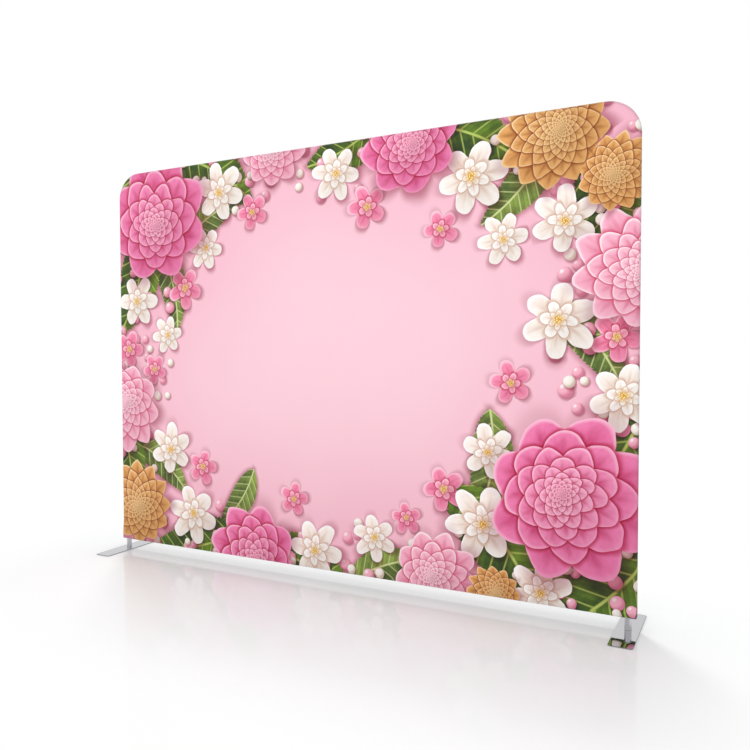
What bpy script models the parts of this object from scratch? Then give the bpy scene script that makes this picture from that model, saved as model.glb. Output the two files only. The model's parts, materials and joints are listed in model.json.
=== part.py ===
# Tension fabric backdrop: a pillowcase cover stretched over a plug-together tube frame on two foot plates.
# Metres, +Z up. X runs along the panel, the printed front faces -Y, and the back faces +Y.
# The origin is on the floor, midway between the feet.
import math

import bmesh
import bpy
from mathutils import Matrix, Vector

# The covered panel
panel_width = 2.990
panel_height = 2.200
floor_gap = 0.056
corner_radius = 0.150
cover_edge_radius = 0.005
cover_wall = 0.0007

# Clearances: between faces that rest on or slide past each other, and past a cut face.
# Points closer than the merge distance are one point.
gap = 0.0003
cut_overrun = 0.002
merge_distance = 0.00001

# Frame tube, and the reduced end that plugs into the next tube
tube_radius = 0.016
tube_wall = 0.0015
plug_length = 0.060
bend_leg = 0.150
upright_joint_share = 0.5
pole_joint_share = 0.5
rail_joint_clearance = 0.020

# Corner block between upright and bottom rail. Its margin lies inwards of the foot post.
block_margin = 0.009
block_plug_length = 0.050

# Feet
post_inset = 0.037
post_radius = 0.015
post_wall = 0.0015
foot_plug_tip_clearance = 0.0084
foot_plug_roof = 0.001
eyelet_clearance = 0.0008
plate_width = 0.100
plate_length = 0.425
plate_thickness = 0.003
plate_corner_radius = 0.012
pad_width = 0.020
pad_thickness = 0.001
pad_corner_radius = 0.004
pad_inset = 0.012

# Spring clip: a strip folded into a U, with a button on one leg
button_radius = 0.004
button_stand = 0.0022
button_dome = 0.0014
button_setback = 0.030
button_flat_share = 0.55
button_shoulder_share = 0.85
clip_leaf_length = 0.018
clip_leaf_tail = 0.006
clip_strip_width = 0.007
clip_strip_thickness = 0.0008
clip_end_clearance = 0.0008

# Centre pole saddles
saddle_flange = 0.010
saddle_wing = 0.007
saddle_plug_length = 0.030
peg_radius = 0.003
peg_length = 0.005

# Zip on the back of the cover
zip_height = 0.050
zip_end_inset = 0.120
chain_width = 0.0050
chain_thickness = 0.0014
stop_length = 0.0030
stop_stand = 0.0012
slider_length = 0.0120
slider_width = 0.0090
slider_thickness = 0.0024
slider_park = 0.0010
bail_radius = 0.0008
bail_leg = 0.0014
eye_wall = 0.0008
eye_length = 0.0032
puller_length = 0.0260
puller_width = 0.0060
tab_thickness = 0.0012
tab_root_share = 0.25
paddle_thickness = 0.0010
paddle_share = 0.5

# Roundness of turned and bent shapes, and the angle in degrees from which an edge stays sharp
round_steps = 24
button_steps = 16
arc_steps = 10
small_arc_steps = 3
clip_bend_steps = 6
sharp_angle = 40

# Places that follow from the sizes above
half_depth = tube_radius + gap + cover_wall
upright_x = panel_width / 2 - half_depth
bottom_rail_z = floor_gap + half_depth
top_rail_z = floor_gap + panel_height - half_depth
bend_radius = corner_radius - half_depth
tube_bore = tube_radius - tube_wall
plug_radius = tube_bore - gap
plug_bore = plug_radius - tube_wall
rail_edge_radius = cover_edge_radius - cover_wall - gap
bore_edge_radius = max(rail_edge_radius - tube_wall, gap)
plug_edge_radius = max(bore_edge_radius - gap, gap)
upright_start_z = bottom_rail_z + tube_radius + gap
bend_leg_z = top_rail_z - bend_radius - bend_leg
bend_leg_x = upright_x - bend_radius - bend_leg
upright_joint_z = upright_start_z + (bend_leg_z - upright_start_z) * upright_joint_share
rail_joint_x = -plug_length - rail_joint_clearance
post_x = panel_width / 2 - post_inset
block_inner_x = post_x - post_radius - block_margin
rail_end_x = block_inner_x - gap
pad_length = plate_width - pad_inset * 2
pad_y = plate_length / 2 - pad_inset - pad_width / 2
plate_base_z = pad_thickness + gap
post_start_z = plate_base_z + plate_thickness + gap
block_base_z = bottom_rail_z - tube_radius
post_top_z = block_base_z - gap
foot_plug_radius = post_radius - post_wall - gap
foot_plug_bore = foot_plug_radius - post_wall
foot_plug_end_z = post_start_z + foot_plug_tip_clearance
pole_start_z = bottom_rail_z + tube_radius + gap + saddle_flange + gap
pole_end_z = top_rail_z - tube_radius - gap - saddle_flange - gap
pole_joint_z = pole_start_z + (pole_end_z - pole_start_z) * pole_joint_share
zip_z = floor_gap + zip_height
zip_half = panel_width / 2 - zip_end_inset
chain_inner_y = half_depth - cover_wall
chain_outer_y = chain_inner_y + chain_thickness
slider_inner_y = chain_outer_y + gap
slider_outer_y = slider_inner_y + slider_thickness
eye_bore = bail_radius + gap
eye_radius = eye_bore + eye_wall
bail_y = slider_outer_y + gap + eye_radius
slider_x = zip_half - stop_length - slider_park - slider_length / 2

X_AXIS = Vector((1, 0, 0))
Y_AXIS = Vector((0, 1, 0))
Z_AXIS = Vector((0, 0, 1))
sides = (("left", -1), ("right", 1))


def clear_scene():
    for old in list(bpy.data.objects):
        bpy.data.objects.remove(old, do_unlink=True)


def new_collection(name):
    made = bpy.data.collections.new(name)
    bpy.context.scene.collection.children.link(made)
    return made


def finish(name, colour, roughness, metallic):
    """A Principled material for one kind of sub-part."""
    made = bpy.data.materials.new(name)
    made.use_nodes = True
    shader = made.node_tree.nodes["Principled BSDF"]
    shader.inputs["Base Color"].default_value = (*colour, 1.0)
    shader.inputs["Roughness"].default_value = roughness
    shader.inputs["Metallic"].default_value = metallic
    made.diffuse_color = (*colour, 1.0)
    return made


def place(obj, group, material=None):
    group.objects.link(obj)
    if material:
        obj.data.materials.clear()
        obj.data.materials.append(material)
    return obj


def as_tool(obj):
    """A shape that only cuts or joins: never rendered, drawn as a wire."""
    obj.hide_render = True
    obj.display_type = "WIRE"
    tools.objects.link(obj)
    return obj


def facing(x_axis, z_axis, origin):
    """World matrix that sends local X and Z to the given directions."""
    y_axis = z_axis.cross(x_axis)
    turn = Matrix((x_axis, y_axis, z_axis)).transposed()
    return Matrix.Translation(origin) @ turn.to_4x4()


def boolean(obj, tool, operation):
    change = obj.modifiers.new(tool.name, "BOOLEAN")
    change.operation = operation
    change.solver = "EXACT"
    change.object = tool


def cut(obj, *cutters):
    for cutter in cutters:
        boolean(obj, cutter, "DIFFERENCE")


def join(obj, *additions):
    for addition in additions:
        boolean(obj, addition, "UNION")


def turned(name, profile, closed, steps=round_steps):
    """Turn a profile of (radius, height) points about Z. It runs down the outer side first."""
    mesh = bpy.data.meshes.new(name)
    points = [(radius, 0, height) for radius, height in profile]
    edges = [(i, i + 1) for i in range(len(points) - 1)]
    if closed:
        edges.append((len(points) - 1, 0))
    mesh.from_pydata(points, edges, [])
    obj = bpy.data.objects.new(name, mesh)
    screw = obj.modifiers.new("turn", "SCREW")
    screw.steps = steps
    screw.render_steps = steps
    screw.use_merge_vertices = True
    screw.merge_threshold = merge_distance
    screw.use_smooth_shade = False
    return obj


def cylinder(name, radius, low, high):
    """A solid rod about Z between two heights."""
    return turned(name, [(0, high), (radius, high), (radius, low), (0, low)], closed=False)


def box(name, low, high):
    """A box between two opposite corners."""
    low = Vector(low)
    high = Vector(high)
    mesh = bpy.data.meshes.new(name)
    form = bmesh.new()
    bmesh.ops.create_cube(form, size=1.0)
    bmesh.ops.scale(form, vec=high - low, verts=form.verts)
    bmesh.ops.translate(form, vec=(low + high) / 2, verts=form.verts)
    form.to_mesh(mesh)
    form.free()
    return bpy.data.objects.new(name, mesh)


def arc(centre, radius, start, end, steps):
    """Points on an arc in a plane, angles in degrees."""
    turn = [math.radians(start + (end - start) * i / steps) for i in range(steps + 1)]
    return [(centre[0] + radius * math.cos(a), centre[1] + radius * math.sin(a)) for a in turn]


def rounded_rectangle(width, height, radius):
    """Outline of a rectangle about the origin with rounded corners."""
    x = width / 2 - radius
    y = height / 2 - radius
    corners = ((x, y, 0), (-x, y, 90), (-x, -y, 180), (x, -y, 270))
    outline = []
    for cx, cy, start in corners:
        outline += arc((cx, cy), radius, start, start + 90, small_arc_steps)
    return outline


def plane_curve(name, outline, half_thickness, edge=0.0, edge_resolution=0):
    """A filled flat curve, thickened both ways, with an optional rounded edge outside the outline."""
    data = bpy.data.curves.new(name, "CURVE")
    data.dimensions = "2D"
    data.fill_mode = "BOTH"
    data.extrude = half_thickness
    data.bevel_depth = edge
    data.bevel_resolution = edge_resolution
    spline = data.splines.new("POLY")
    spline.points.add(len(outline) - 1)
    for point, (x, y) in zip(spline.points, outline):
        point.co = (x, y, 0, 1)
    spline.use_cyclic_u = True
    return bpy.data.objects.new(name, data)


def to_mesh(curve_object, matrix=None):
    """Replace a curve object by the mesh of its evaluated shape, with its caps welded on."""
    bpy.context.scene.collection.objects.link(curve_object)
    if matrix:
        curve_object.matrix_world = matrix
    bpy.context.view_layer.update()
    graph = bpy.context.evaluated_depsgraph_get()
    mesh = bpy.data.meshes.new_from_object(curve_object.evaluated_get(graph))
    form = bmesh.new()
    form.from_mesh(mesh)
    bmesh.ops.remove_doubles(form, verts=form.verts, dist=merge_distance)
    bmesh.ops.recalc_face_normals(form, faces=form.faces)
    form.to_mesh(mesh)
    form.free()
    made = bpy.data.objects.new(curve_object.name, mesh)
    made.matrix_world = curve_object.matrix_world
    bpy.data.objects.remove(curve_object)
    made.name = mesh.name = mesh.name.split(".")[0]
    return made


def square_bar(name, half_size, edge_radius, start, end):
    """A bar along X with a rounded square section, on the bottom rail's axis."""
    outline = rounded_rectangle(half_size * 2, half_size * 2, edge_radius)
    bar = plane_curve(name, outline, abs(end - start) / 2)
    middle = Vector(((start + end) / 2, 0, bottom_rail_z))
    return to_mesh(bar, facing(Y_AXIS, X_AXIS, middle))


def flat_plate(name, width, length, thickness, radius, centre):
    """A flat plate with rounded corners, its middle at the centre."""
    outline = rounded_rectangle(width, length, radius)
    plate = plane_curve(name, outline, thickness / 2)
    return to_mesh(plate, Matrix.Translation(centre))


def round_tube(name, length, plug_at_start, plug_at_end):
    """A round tube about Z from 0 to its length, with a reduced plug beyond either end."""
    outer = []
    if plug_at_end:
        outer += [(plug_radius, length + plug_length), (plug_radius, length)]
    outer += [(tube_radius, length), (tube_radius, 0)]
    if plug_at_start:
        outer += [(plug_radius, 0), (plug_radius, -plug_length)]
    inner = []
    if plug_at_start:
        inner += [(plug_bore, -plug_length), (plug_bore, tube_wall)]
        inner += [(tube_bore, tube_wall * 2)]
    else:
        inner += [(tube_bore, 0)]
    if plug_at_end:
        inner += [(tube_bore, length - tube_wall * 2), (plug_bore, length - tube_wall)]
        inner += [(plug_bore, length + plug_length)]
    else:
        inner += [(tube_bore, length)]
    return turned(name, outer + inner, closed=True)


def bent_tube(name, side):
    """The top corner: a straight leg, a quarter bend and a straight leg, open at both ends.

    A bevelled curve has four sides and two more for each step of its bevel resolution.
    """
    centre = (upright_x - bend_radius, top_rail_z - bend_radius)
    path = [(upright_x, bend_leg_z + gap)]
    path += arc(centre, bend_radius, 0, 90, arc_steps)
    path.append((bend_leg_x + gap, top_rail_z))
    data = bpy.data.curves.new(name, "CURVE")
    data.dimensions = "3D"
    data.bevel_depth = tube_radius
    data.bevel_resolution = round_steps // 2 - 2
    spline = data.splines.new("POLY")
    spline.points.add(len(path) - 1)
    for point, (x, z) in zip(spline.points, path):
        point.co = (x * side, 0, z, 1)
    tube = to_mesh(bpy.data.objects.new(name, data))
    wall = tube.modifiers.new("wall", "SOLIDIFY")
    wall.thickness = tube_wall
    wall.offset = -1
    wall.use_even_offset = True
    return tube


def clip_levels(bore, outer_radius, plug_outer):
    """Heights of a clip above its tube's axis: leaf top, button top, and the button's travel."""
    leaf_top = math.sqrt(bore ** 2 - (clip_strip_width / 2) ** 2) - gap
    button_top = outer_radius + button_stand
    travel = button_top - plug_outer + gap
    return leaf_top, button_top, travel


def snap_button(name, leaf_top, button_top):
    """Button and the leg that carries it. Local Z is the button's axis, local X the tube's."""
    half_width = clip_strip_width / 2
    leaf_low = leaf_top - clip_strip_thickness
    leaf = box(name, (-clip_leaf_length, -half_width, leaf_low), (clip_leaf_tail, half_width, leaf_top))
    root = leaf_top - clip_strip_thickness / 2
    dome_edge = button_top - button_dome
    shoulder = dome_edge + button_dome * (1 - button_flat_share)
    profile = [(0, button_top), (button_radius * button_flat_share, button_top)]
    profile += [(button_radius * button_shoulder_share, shoulder), (button_radius, dome_edge)]
    profile += [(button_radius, root), (0, root)]
    head = as_tool(turned(name + "_head", profile, closed=False, steps=button_steps))
    join(leaf, head)
    return leaf, head


def clip_spring(name, leaf_top):
    """The clip's fixed leg and its U bend: a folded strip, open towards the button's leaf."""
    reach = leaf_top - clip_strip_thickness / 2
    bend_x = -clip_leaf_length - gap
    path = [(clip_leaf_tail, -reach)]
    path += arc((bend_x, 0), reach, 270, 90, clip_bend_steps)
    mesh = bpy.data.meshes.new(name)
    form = bmesh.new()
    near = [form.verts.new((x, -clip_strip_width / 2, z)) for x, z in path]
    edges = [form.edges.new(pair) for pair in zip(near, near[1:])]
    swept = bmesh.ops.extrude_edge_only(form, edges=edges)
    moved = [v for v in swept["geom"] if isinstance(v, bmesh.types.BMVert)]
    bmesh.ops.translate(form, vec=(0, clip_strip_width, 0), verts=moved)
    form.to_mesh(mesh)
    form.free()
    spring = bpy.data.objects.new(name, mesh)
    strip = spring.modifiers.new("strip", "SOLIDIFY")
    strip.thickness = clip_strip_thickness
    strip.offset = 0
    strip.use_even_offset = True
    return spring


def fit_clip(name, origin, along, outward, levels, plug_owner, socket_owner, setback):
    """Put one spring clip in a plug, and drill the plug and the socket around its button."""
    leaf_top, button_top, travel = levels
    centre = origin + along * setback
    matrix = facing(along, outward, centre)
    button, head = snap_button(name + "_snap_button", leaf_top, button_top)
    button.matrix_world = matrix
    head.matrix_world = matrix
    place(button, parts, spring_steel)
    spring = clip_spring(name + "_clip_spring", leaf_top)
    spring.matrix_world = matrix
    place(spring, parts, spring_steel)
    drill = as_tool(cylinder(name + "_drill", button_radius + gap, leaf_top - gap, button_top))
    drill.matrix_world = matrix
    cut(plug_owner, drill)
    cut(socket_owner, drill)
    print(name, "button at", [round(v, 4) for v in centre], "out", list(outward), "travel", round(travel, 5))


def shade_round(obj):
    """Apply the modifiers, then shade curved faces smooth and keep the edges between them sharp."""
    graph = bpy.context.evaluated_depsgraph_get()
    mesh = bpy.data.meshes.new_from_object(obj.evaluated_get(graph))
    mesh.shade_smooth()
    mesh.set_sharp_from_angle(angle=math.radians(sharp_angle))
    obj.modifiers.clear()
    obj.data = mesh


clear_scene()
parts = new_collection("tension_fabric_backdrop")
tools = new_collection("cutting_shapes")

tube_aluminium = finish("drawn_aluminium", (0.74, 0.75, 0.77), 0.35, 1.0)
rail_aluminium = finish("extruded_aluminium", (0.72, 0.73, 0.75), 0.40, 1.0)
block_nylon = finish("moulded_nylon", (0.06, 0.06, 0.065), 0.50, 0.0)
plate_steel = finish("polished_steel", (0.78, 0.78, 0.80), 0.08, 1.0)
post_steel = finish("satin_steel", (0.70, 0.70, 0.72), 0.25, 1.0)
pad_rubber = finish("pad_rubber", (0.03, 0.03, 0.03), 0.80, 0.0)
spring_steel = finish("spring_steel", (0.62, 0.62, 0.63), 0.30, 1.0)
cover_fabric = finish("knitted_polyester", (0.93, 0.62, 0.70), 0.85, 0.0)
zip_nylon = finish("zip_nylon", (0.90, 0.88, 0.88), 0.55, 0.0)
zip_metal = finish("zip_metal", (0.66, 0.66, 0.68), 0.30, 1.0)

frame_clip = clip_levels(plug_bore, tube_radius, plug_radius)
foot_clip = clip_levels(foot_plug_bore, post_radius, foot_plug_radius)
foot_button_setback = foot_plug_roof + clip_end_clearance + clip_leaf_length + gap + foot_clip[0]

# Rails along the top and the bottom, each in two lengths with the joint left of the centre pole
top_left_length = bend_leg_x + rail_joint_x
top_rail_left = round_tube("top_rail_left", top_left_length, plug_at_start=True, plug_at_end=True)
top_rail_left.matrix_world = facing(-Z_AXIS, X_AXIS, Vector((-bend_leg_x, 0, top_rail_z)))
place(top_rail_left, parts, tube_aluminium)

top_right_length = bend_leg_x - rail_joint_x - gap
top_rail_right = round_tube("top_rail_right", top_right_length, plug_at_start=False, plug_at_end=True)
top_rail_right.matrix_world = facing(-Z_AXIS, X_AXIS, Vector((rail_joint_x + gap, 0, top_rail_z)))
place(top_rail_right, parts, tube_aluminium)

bottom_rail_left = square_bar("bottom_rail_left", tube_radius, rail_edge_radius, -rail_end_x, rail_joint_x)
left_bore = as_tool(square_bar(
    "bottom_left_bore", tube_bore, bore_edge_radius,
    -rail_end_x - cut_overrun, rail_joint_x - tube_wall))
plug_hollow = as_tool(square_bar(
    "bottom_plug_hollow", plug_bore, plug_edge_radius / 2,
    rail_joint_x - tube_wall * 2, rail_joint_x + plug_length + cut_overrun))
cut(bottom_rail_left, left_bore)
left_plug = as_tool(square_bar(
    "bottom_left_plug", plug_radius, plug_edge_radius, rail_joint_x - tube_wall / 2,
    rail_joint_x + plug_length))
join(bottom_rail_left, left_plug)
cut(bottom_rail_left, plug_hollow)
place(bottom_rail_left, parts, rail_aluminium)

bottom_rail_right = square_bar(
    "bottom_rail_right", tube_radius, rail_edge_radius, rail_joint_x + gap, rail_end_x)
right_bore = as_tool(square_bar(
    "bottom_right_bore", tube_bore, bore_edge_radius, rail_joint_x - cut_overrun,
    rail_end_x + cut_overrun))
cut(bottom_rail_right, right_bore)
place(bottom_rail_right, parts, rail_aluminium)

fit_clip("top_middle", Vector((rail_joint_x, 0, top_rail_z)), X_AXIS, -Z_AXIS, frame_clip,
         top_rail_left, top_rail_right, button_setback)
fit_clip("bottom_middle", Vector((rail_joint_x, 0, bottom_rail_z)), X_AXIS, Z_AXIS, frame_clip,
         bottom_rail_left, bottom_rail_right, button_setback)

# The two sides: foot, corner block, two upright lengths and the bent top corner
top_rails = {"left": top_rail_left, "right": top_rail_right}
post_holes = []
for side_name, side in sides:
    inward = -X_AXIS * side
    outward = X_AXIS * side

    plate = flat_plate(
        side_name + "_foot_plate", plate_width, plate_length, plate_thickness, plate_corner_radius,
        Vector((post_x * side, 0, plate_base_z + plate_thickness / 2)))
    place(plate, parts, plate_steel)

    for end_name, end in (("front", -1), ("rear", 1)):
        pad = flat_plate(
            side_name + "_" + end_name + "_pad", pad_length, pad_width, pad_thickness, pad_corner_radius,
            Vector((post_x * side, pad_y * end, pad_thickness / 2)))
        place(pad, parts, pad_rubber)

    post_bore = post_radius - post_wall
    post = turned(
        side_name + "_foot_post",
        [(post_radius, post_top_z), (post_radius, post_start_z), (post_bore, post_start_z),
         (post_bore, post_top_z)], closed=True)
    post.location = (post_x * side, 0, 0)
    place(post, parts, post_steel)

    outer_x = (upright_x + tube_radius) * side
    inner_x = block_inner_x * side
    block = box(
        side_name + "_corner_block", (min(outer_x, inner_x), -tube_radius, block_base_z),
        (max(outer_x, inner_x), tube_radius, bottom_rail_z + tube_radius))
    rounding = block.modifiers.new("rounding", "BEVEL")
    rounding.width = rail_edge_radius
    rounding.segments = small_arc_steps
    plug_tip_x = inner_x - block_plug_length * side
    rail_plug = as_tool(square_bar(
        side_name + "_block_rail_plug", plug_radius, plug_edge_radius,
        min(inner_x + tube_wall * side, plug_tip_x), max(inner_x + tube_wall * side, plug_tip_x)))
    upright_plug = as_tool(cylinder(
        side_name + "_block_upright_plug", plug_radius, bottom_rail_z + tube_wall,
        upright_start_z + block_plug_length))
    upright_plug.location = (upright_x * side, 0, 0)
    foot_plug = as_tool(turned(
        side_name + "_block_foot_plug",
        [(0, bottom_rail_z), (foot_plug_radius, bottom_rail_z), (foot_plug_radius, foot_plug_end_z),
         (foot_plug_bore, foot_plug_end_z), (foot_plug_bore, block_base_z - foot_plug_roof),
         (0, block_base_z - foot_plug_roof)], closed=False))
    foot_plug.location = (post_x * side, 0, 0)
    join(block, rail_plug, upright_plug, foot_plug)
    place(block, parts, block_nylon)
    fit_clip(side_name + "_foot", Vector((post_x * side, 0, block_base_z)), -Z_AXIS, Y_AXIS, foot_clip,
             block, post, foot_button_setback)

    lower = round_tube(
        side_name + "_lower_upright", upright_joint_z - upright_start_z, plug_at_start=False,
        plug_at_end=True)
    lower.location = (upright_x * side, 0, upright_start_z)
    place(lower, parts, tube_aluminium)
    upper = round_tube(
        side_name + "_upper_upright", bend_leg_z - upright_joint_z - gap, plug_at_start=False,
        plug_at_end=True)
    upper.location = (upright_x * side, 0, upright_joint_z + gap)
    place(upper, parts, tube_aluminium)
    bend = bent_tube(side_name + "_corner_bend", side)
    place(bend, parts, tube_aluminium)
    fit_clip(side_name + "_upright", Vector((upright_x * side, 0, upright_joint_z)), Z_AXIS, inward,
             frame_clip, lower, upper, button_setback)
    fit_clip(side_name + "_shoulder", Vector((upright_x * side, 0, bend_leg_z)), Z_AXIS, inward,
             frame_clip, upper, bend, button_setback)
    fit_clip(side_name + "_top", Vector((bend_leg_x * side, 0, top_rail_z)), outward, -Z_AXIS,
             frame_clip, top_rails[side_name], bend, button_setback)

    hole = as_tool(cylinder(
        side_name + "_post_opening", post_radius + eyelet_clearance, floor_gap - cut_overrun,
        floor_gap + cover_wall + cut_overrun))
    hole.location = (post_x * side, 0, 0)
    post_holes.append(hole)

# Centre pole between the rails, in two lengths, on a saddle at each end
pole_lower = round_tube(
    "centre_pole_lower", pole_joint_z - pole_start_z, plug_at_start=False, plug_at_end=True)
pole_lower.location = (0, 0, pole_start_z)
place(pole_lower, parts, tube_aluminium)
pole_upper = round_tube(
    "centre_pole_upper", pole_end_z - pole_joint_z - gap, plug_at_start=False, plug_at_end=False)
pole_upper.location = (0, 0, pole_joint_z + gap)
place(pole_upper, parts, tube_aluminium)
fit_clip("pole", Vector((0, 0, pole_joint_z)), Z_AXIS, X_AXIS, frame_clip, pole_lower, pole_upper,
         button_setback)

bottom_seat_z = bottom_rail_z + tube_radius + gap
bottom_saddle = turned(
    "pole_bottom_saddle",
    [(0, pole_start_z + saddle_plug_length), (plug_radius, pole_start_z + saddle_plug_length),
     (plug_radius, bottom_seat_z + saddle_flange), (tube_radius, bottom_seat_z + saddle_flange),
     (tube_radius, bottom_seat_z), (peg_radius, bottom_seat_z), (peg_radius, bottom_seat_z - peg_length),
     (0, bottom_seat_z - peg_length)], closed=False)
place(bottom_saddle, parts, block_nylon)
bottom_peg_hole = as_tool(cylinder(
    "bottom_peg_hole", peg_radius + gap, bottom_seat_z - peg_length, bottom_seat_z + cut_overrun))
cut(bottom_rail_right, bottom_peg_hole)

top_seat_z = top_rail_z - tube_radius - gap
top_saddle = turned(
    "pole_top_saddle",
    [(0, top_seat_z + saddle_wing), (tube_radius, top_seat_z + saddle_wing),
     (tube_radius, top_seat_z - saddle_flange), (plug_radius, top_seat_z - saddle_flange),
     (plug_radius, pole_end_z - saddle_plug_length), (0, pole_end_z - saddle_plug_length)], closed=False)
seat_shape = as_tool(cylinder("rail_seat", tube_radius + gap, -tube_radius * 2, tube_radius * 2))
seat_shape.matrix_world = facing(-Z_AXIS, X_AXIS, Vector((0, 0, top_rail_z)))
top_peg = as_tool(cylinder("top_peg", peg_radius, top_seat_z - saddle_flange / 2, top_seat_z + peg_length))
cut(top_saddle, seat_shape)
join(top_saddle, top_peg)
place(top_saddle, parts, block_nylon)
top_peg_hole = as_tool(cylinder(
    "top_peg_hole", peg_radius + gap, top_seat_z - cut_overrun, top_seat_z + peg_length + gap))
cut(top_rail_right, top_peg_hole)

# The cover: a thin bag with rounded edges, an opening for each post and a slot for the zip
edge_centre_x = panel_width / 2 - cover_edge_radius
edge_low_z = floor_gap + cover_edge_radius
edge_high_z = floor_gap + panel_height - cover_edge_radius
edge_arc = corner_radius - cover_edge_radius
outline = [(-edge_centre_x, edge_low_z), (edge_centre_x, edge_low_z)]
outline += arc((edge_centre_x - edge_arc, edge_high_z - edge_arc), edge_arc, 0, 90, arc_steps)
outline += arc((edge_arc - edge_centre_x, edge_high_z - edge_arc), edge_arc, 90, 180, arc_steps)
upright_plane = facing(X_AXIS, -Y_AXIS, Vector((0, 0, 0)))
cover = to_mesh(plane_curve(
    "fabric_cover", outline, half_depth - cover_edge_radius, cover_edge_radius, small_arc_steps - 1),
    upright_plane)
cavity = as_tool(to_mesh(plane_curve(
    "cover_cavity", outline, half_depth - cover_edge_radius, cover_edge_radius - cover_wall,
    small_arc_steps - 1), upright_plane))
slot_half = chain_width / 2 + gap
zip_slot = as_tool(box(
    "zip_slot", (-zip_half - gap, chain_inner_y - cut_overrun, zip_z - slot_half),
    (zip_half + gap, half_depth + cut_overrun, zip_z + slot_half)))
cut(cover, cavity, zip_slot, *post_holes)
place(cover, parts, cover_fabric)

# Zip: chain with an end stop at each end, slider with a bail, and the puller's eye round the bail
chain = box(
    "zip_chain", (-zip_half, chain_inner_y, zip_z - chain_width / 2),
    (zip_half, chain_outer_y, zip_z + chain_width / 2))
for end_name, end in sides:
    stop_x = (zip_half - stop_length / 2) * end
    stop = as_tool(box(
        end_name + "_zip_stop", (stop_x - stop_length / 2, chain_outer_y - chain_thickness / 2,
                                 zip_z - chain_width / 2 + gap),
        (stop_x + stop_length / 2, chain_outer_y + stop_stand, zip_z + chain_width / 2 - gap)))
    join(chain, stop)
place(chain, parts, zip_nylon)

slider = box(
    "zip_slider", (-slider_length / 2, slider_inner_y, -slider_width / 2),
    (slider_length / 2, slider_outer_y, slider_width / 2))
slider.location = (slider_x, 0, zip_z)
leg_inner_z = eye_length / 2 + gap
leg_outer_z = leg_inner_z + bail_leg
for leg_name, leg in (("low", -1), ("high", 1)):
    near_z = leg_inner_z * leg
    far_z = leg_outer_z * leg
    upstand = as_tool(box(
        leg_name + "_bail_leg",
        (-bail_radius * 2, slider_outer_y - slider_thickness / 2, min(near_z, far_z)),
        (bail_radius * 2, bail_y + bail_radius * 2, max(near_z, far_z))))
    upstand.location = slider.location
    join(slider, upstand)
bar = as_tool(cylinder("bail_bar", bail_radius, -leg_outer_z + gap, leg_outer_z - gap))
bar.location = slider.location + Vector((0, bail_y, 0))
join(slider, bar)
place(slider, parts, zip_metal)

puller = turned(
    "zip_puller",
    [(eye_radius, eye_length / 2), (eye_radius, -eye_length / 2), (eye_bore, -eye_length / 2),
     (eye_bore, eye_length / 2)], closed=True, steps=button_steps)
puller.location = bar.location
tab = as_tool(box(
    "puller_tab", (-puller_length, -tab_thickness / 2, -eye_length / 2 + gap),
    (-eye_bore - eye_wall * tab_root_share, tab_thickness / 2, eye_length / 2 - gap)))
tab.location = bar.location
paddle = as_tool(box(
    "puller_paddle", (-puller_length, -paddle_thickness / 2, -puller_width / 2),
    (-puller_length * paddle_share, paddle_thickness / 2, puller_width / 2)))
paddle.location = bar.location
join(puller, tab, paddle)
place(puller, parts, zip_metal)

bpy.context.view_layer.update()
for piece in parts.objects:
    shade_round(piece)
print("upright x", round(upright_x, 4), "post x", round(post_x, 4), "pieces", len(parts.objects))
print("frame button travel", round(frame_clip[2], 5), "foot button travel", round(foot_clip[2], 5))
print("slider x", round(slider_x, 4), "travel", round(2 * slider_x, 4), "bail y", round(bail_y, 5),
      "zip z", round(zip_z, 4))
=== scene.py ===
# %% [markdown]
# # Tension fabric backdrop
# The real object is a printed stretch-fabric cover, sewn like a pillowcase, that is pulled over a tube frame
# and zipped shut. It stands on two polished steel foot plates. The frame's solids come in at their true size
# and place. This lesson dresses them: the cloth and its print, the seam, the zip, and the steel feet.

# %% Load the frame
import json
import math

import bmesh
import bpy
from mathutils import Matrix, Vector


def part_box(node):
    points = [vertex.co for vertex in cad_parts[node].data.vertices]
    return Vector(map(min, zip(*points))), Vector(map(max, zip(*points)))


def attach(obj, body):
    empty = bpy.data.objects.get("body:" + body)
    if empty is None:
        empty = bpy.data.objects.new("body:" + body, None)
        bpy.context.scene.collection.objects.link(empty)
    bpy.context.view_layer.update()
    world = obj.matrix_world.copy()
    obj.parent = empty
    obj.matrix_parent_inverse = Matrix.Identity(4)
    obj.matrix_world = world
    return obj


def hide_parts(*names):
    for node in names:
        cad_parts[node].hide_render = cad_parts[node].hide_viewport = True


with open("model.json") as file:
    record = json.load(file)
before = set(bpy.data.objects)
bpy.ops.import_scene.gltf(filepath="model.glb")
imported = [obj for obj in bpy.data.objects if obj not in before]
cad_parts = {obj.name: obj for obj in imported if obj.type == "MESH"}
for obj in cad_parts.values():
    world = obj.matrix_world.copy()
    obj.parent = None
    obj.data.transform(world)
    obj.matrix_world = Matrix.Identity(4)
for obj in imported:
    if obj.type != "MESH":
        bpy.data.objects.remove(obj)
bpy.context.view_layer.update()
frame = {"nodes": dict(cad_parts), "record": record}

# %% [markdown]
# ## Small helpers
# One function adds any node: it takes the node's kind, then what feeds its inputs in order, and gives back
# its output. After a dot, the kind names its operation, the data type of a Mix or the curve of a Map Range,
# and capitals alone are an operation of the Math node. Colours go in as the hex values that a paint chart or
# a picture editor shows. Blender's sockets want linear light, so another function converts them.

# %% Colour and node helpers
# Nearly all of a noise pattern's heights lie between these two.
noise_low, noise_high = 0.3, 0.7


def linear(colour):
    """An sRGB hex colour, such as F9CDD8, as linear red, green, blue and alpha."""
    shares = [int(colour[i:i + 2], 16) / 255 for i in (0, 2, 4)]
    return (*(s / 12.92 if s <= 0.04045 else ((s + 0.055) / 1.055) ** 2.4 for s in shares), 1.0)


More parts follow.
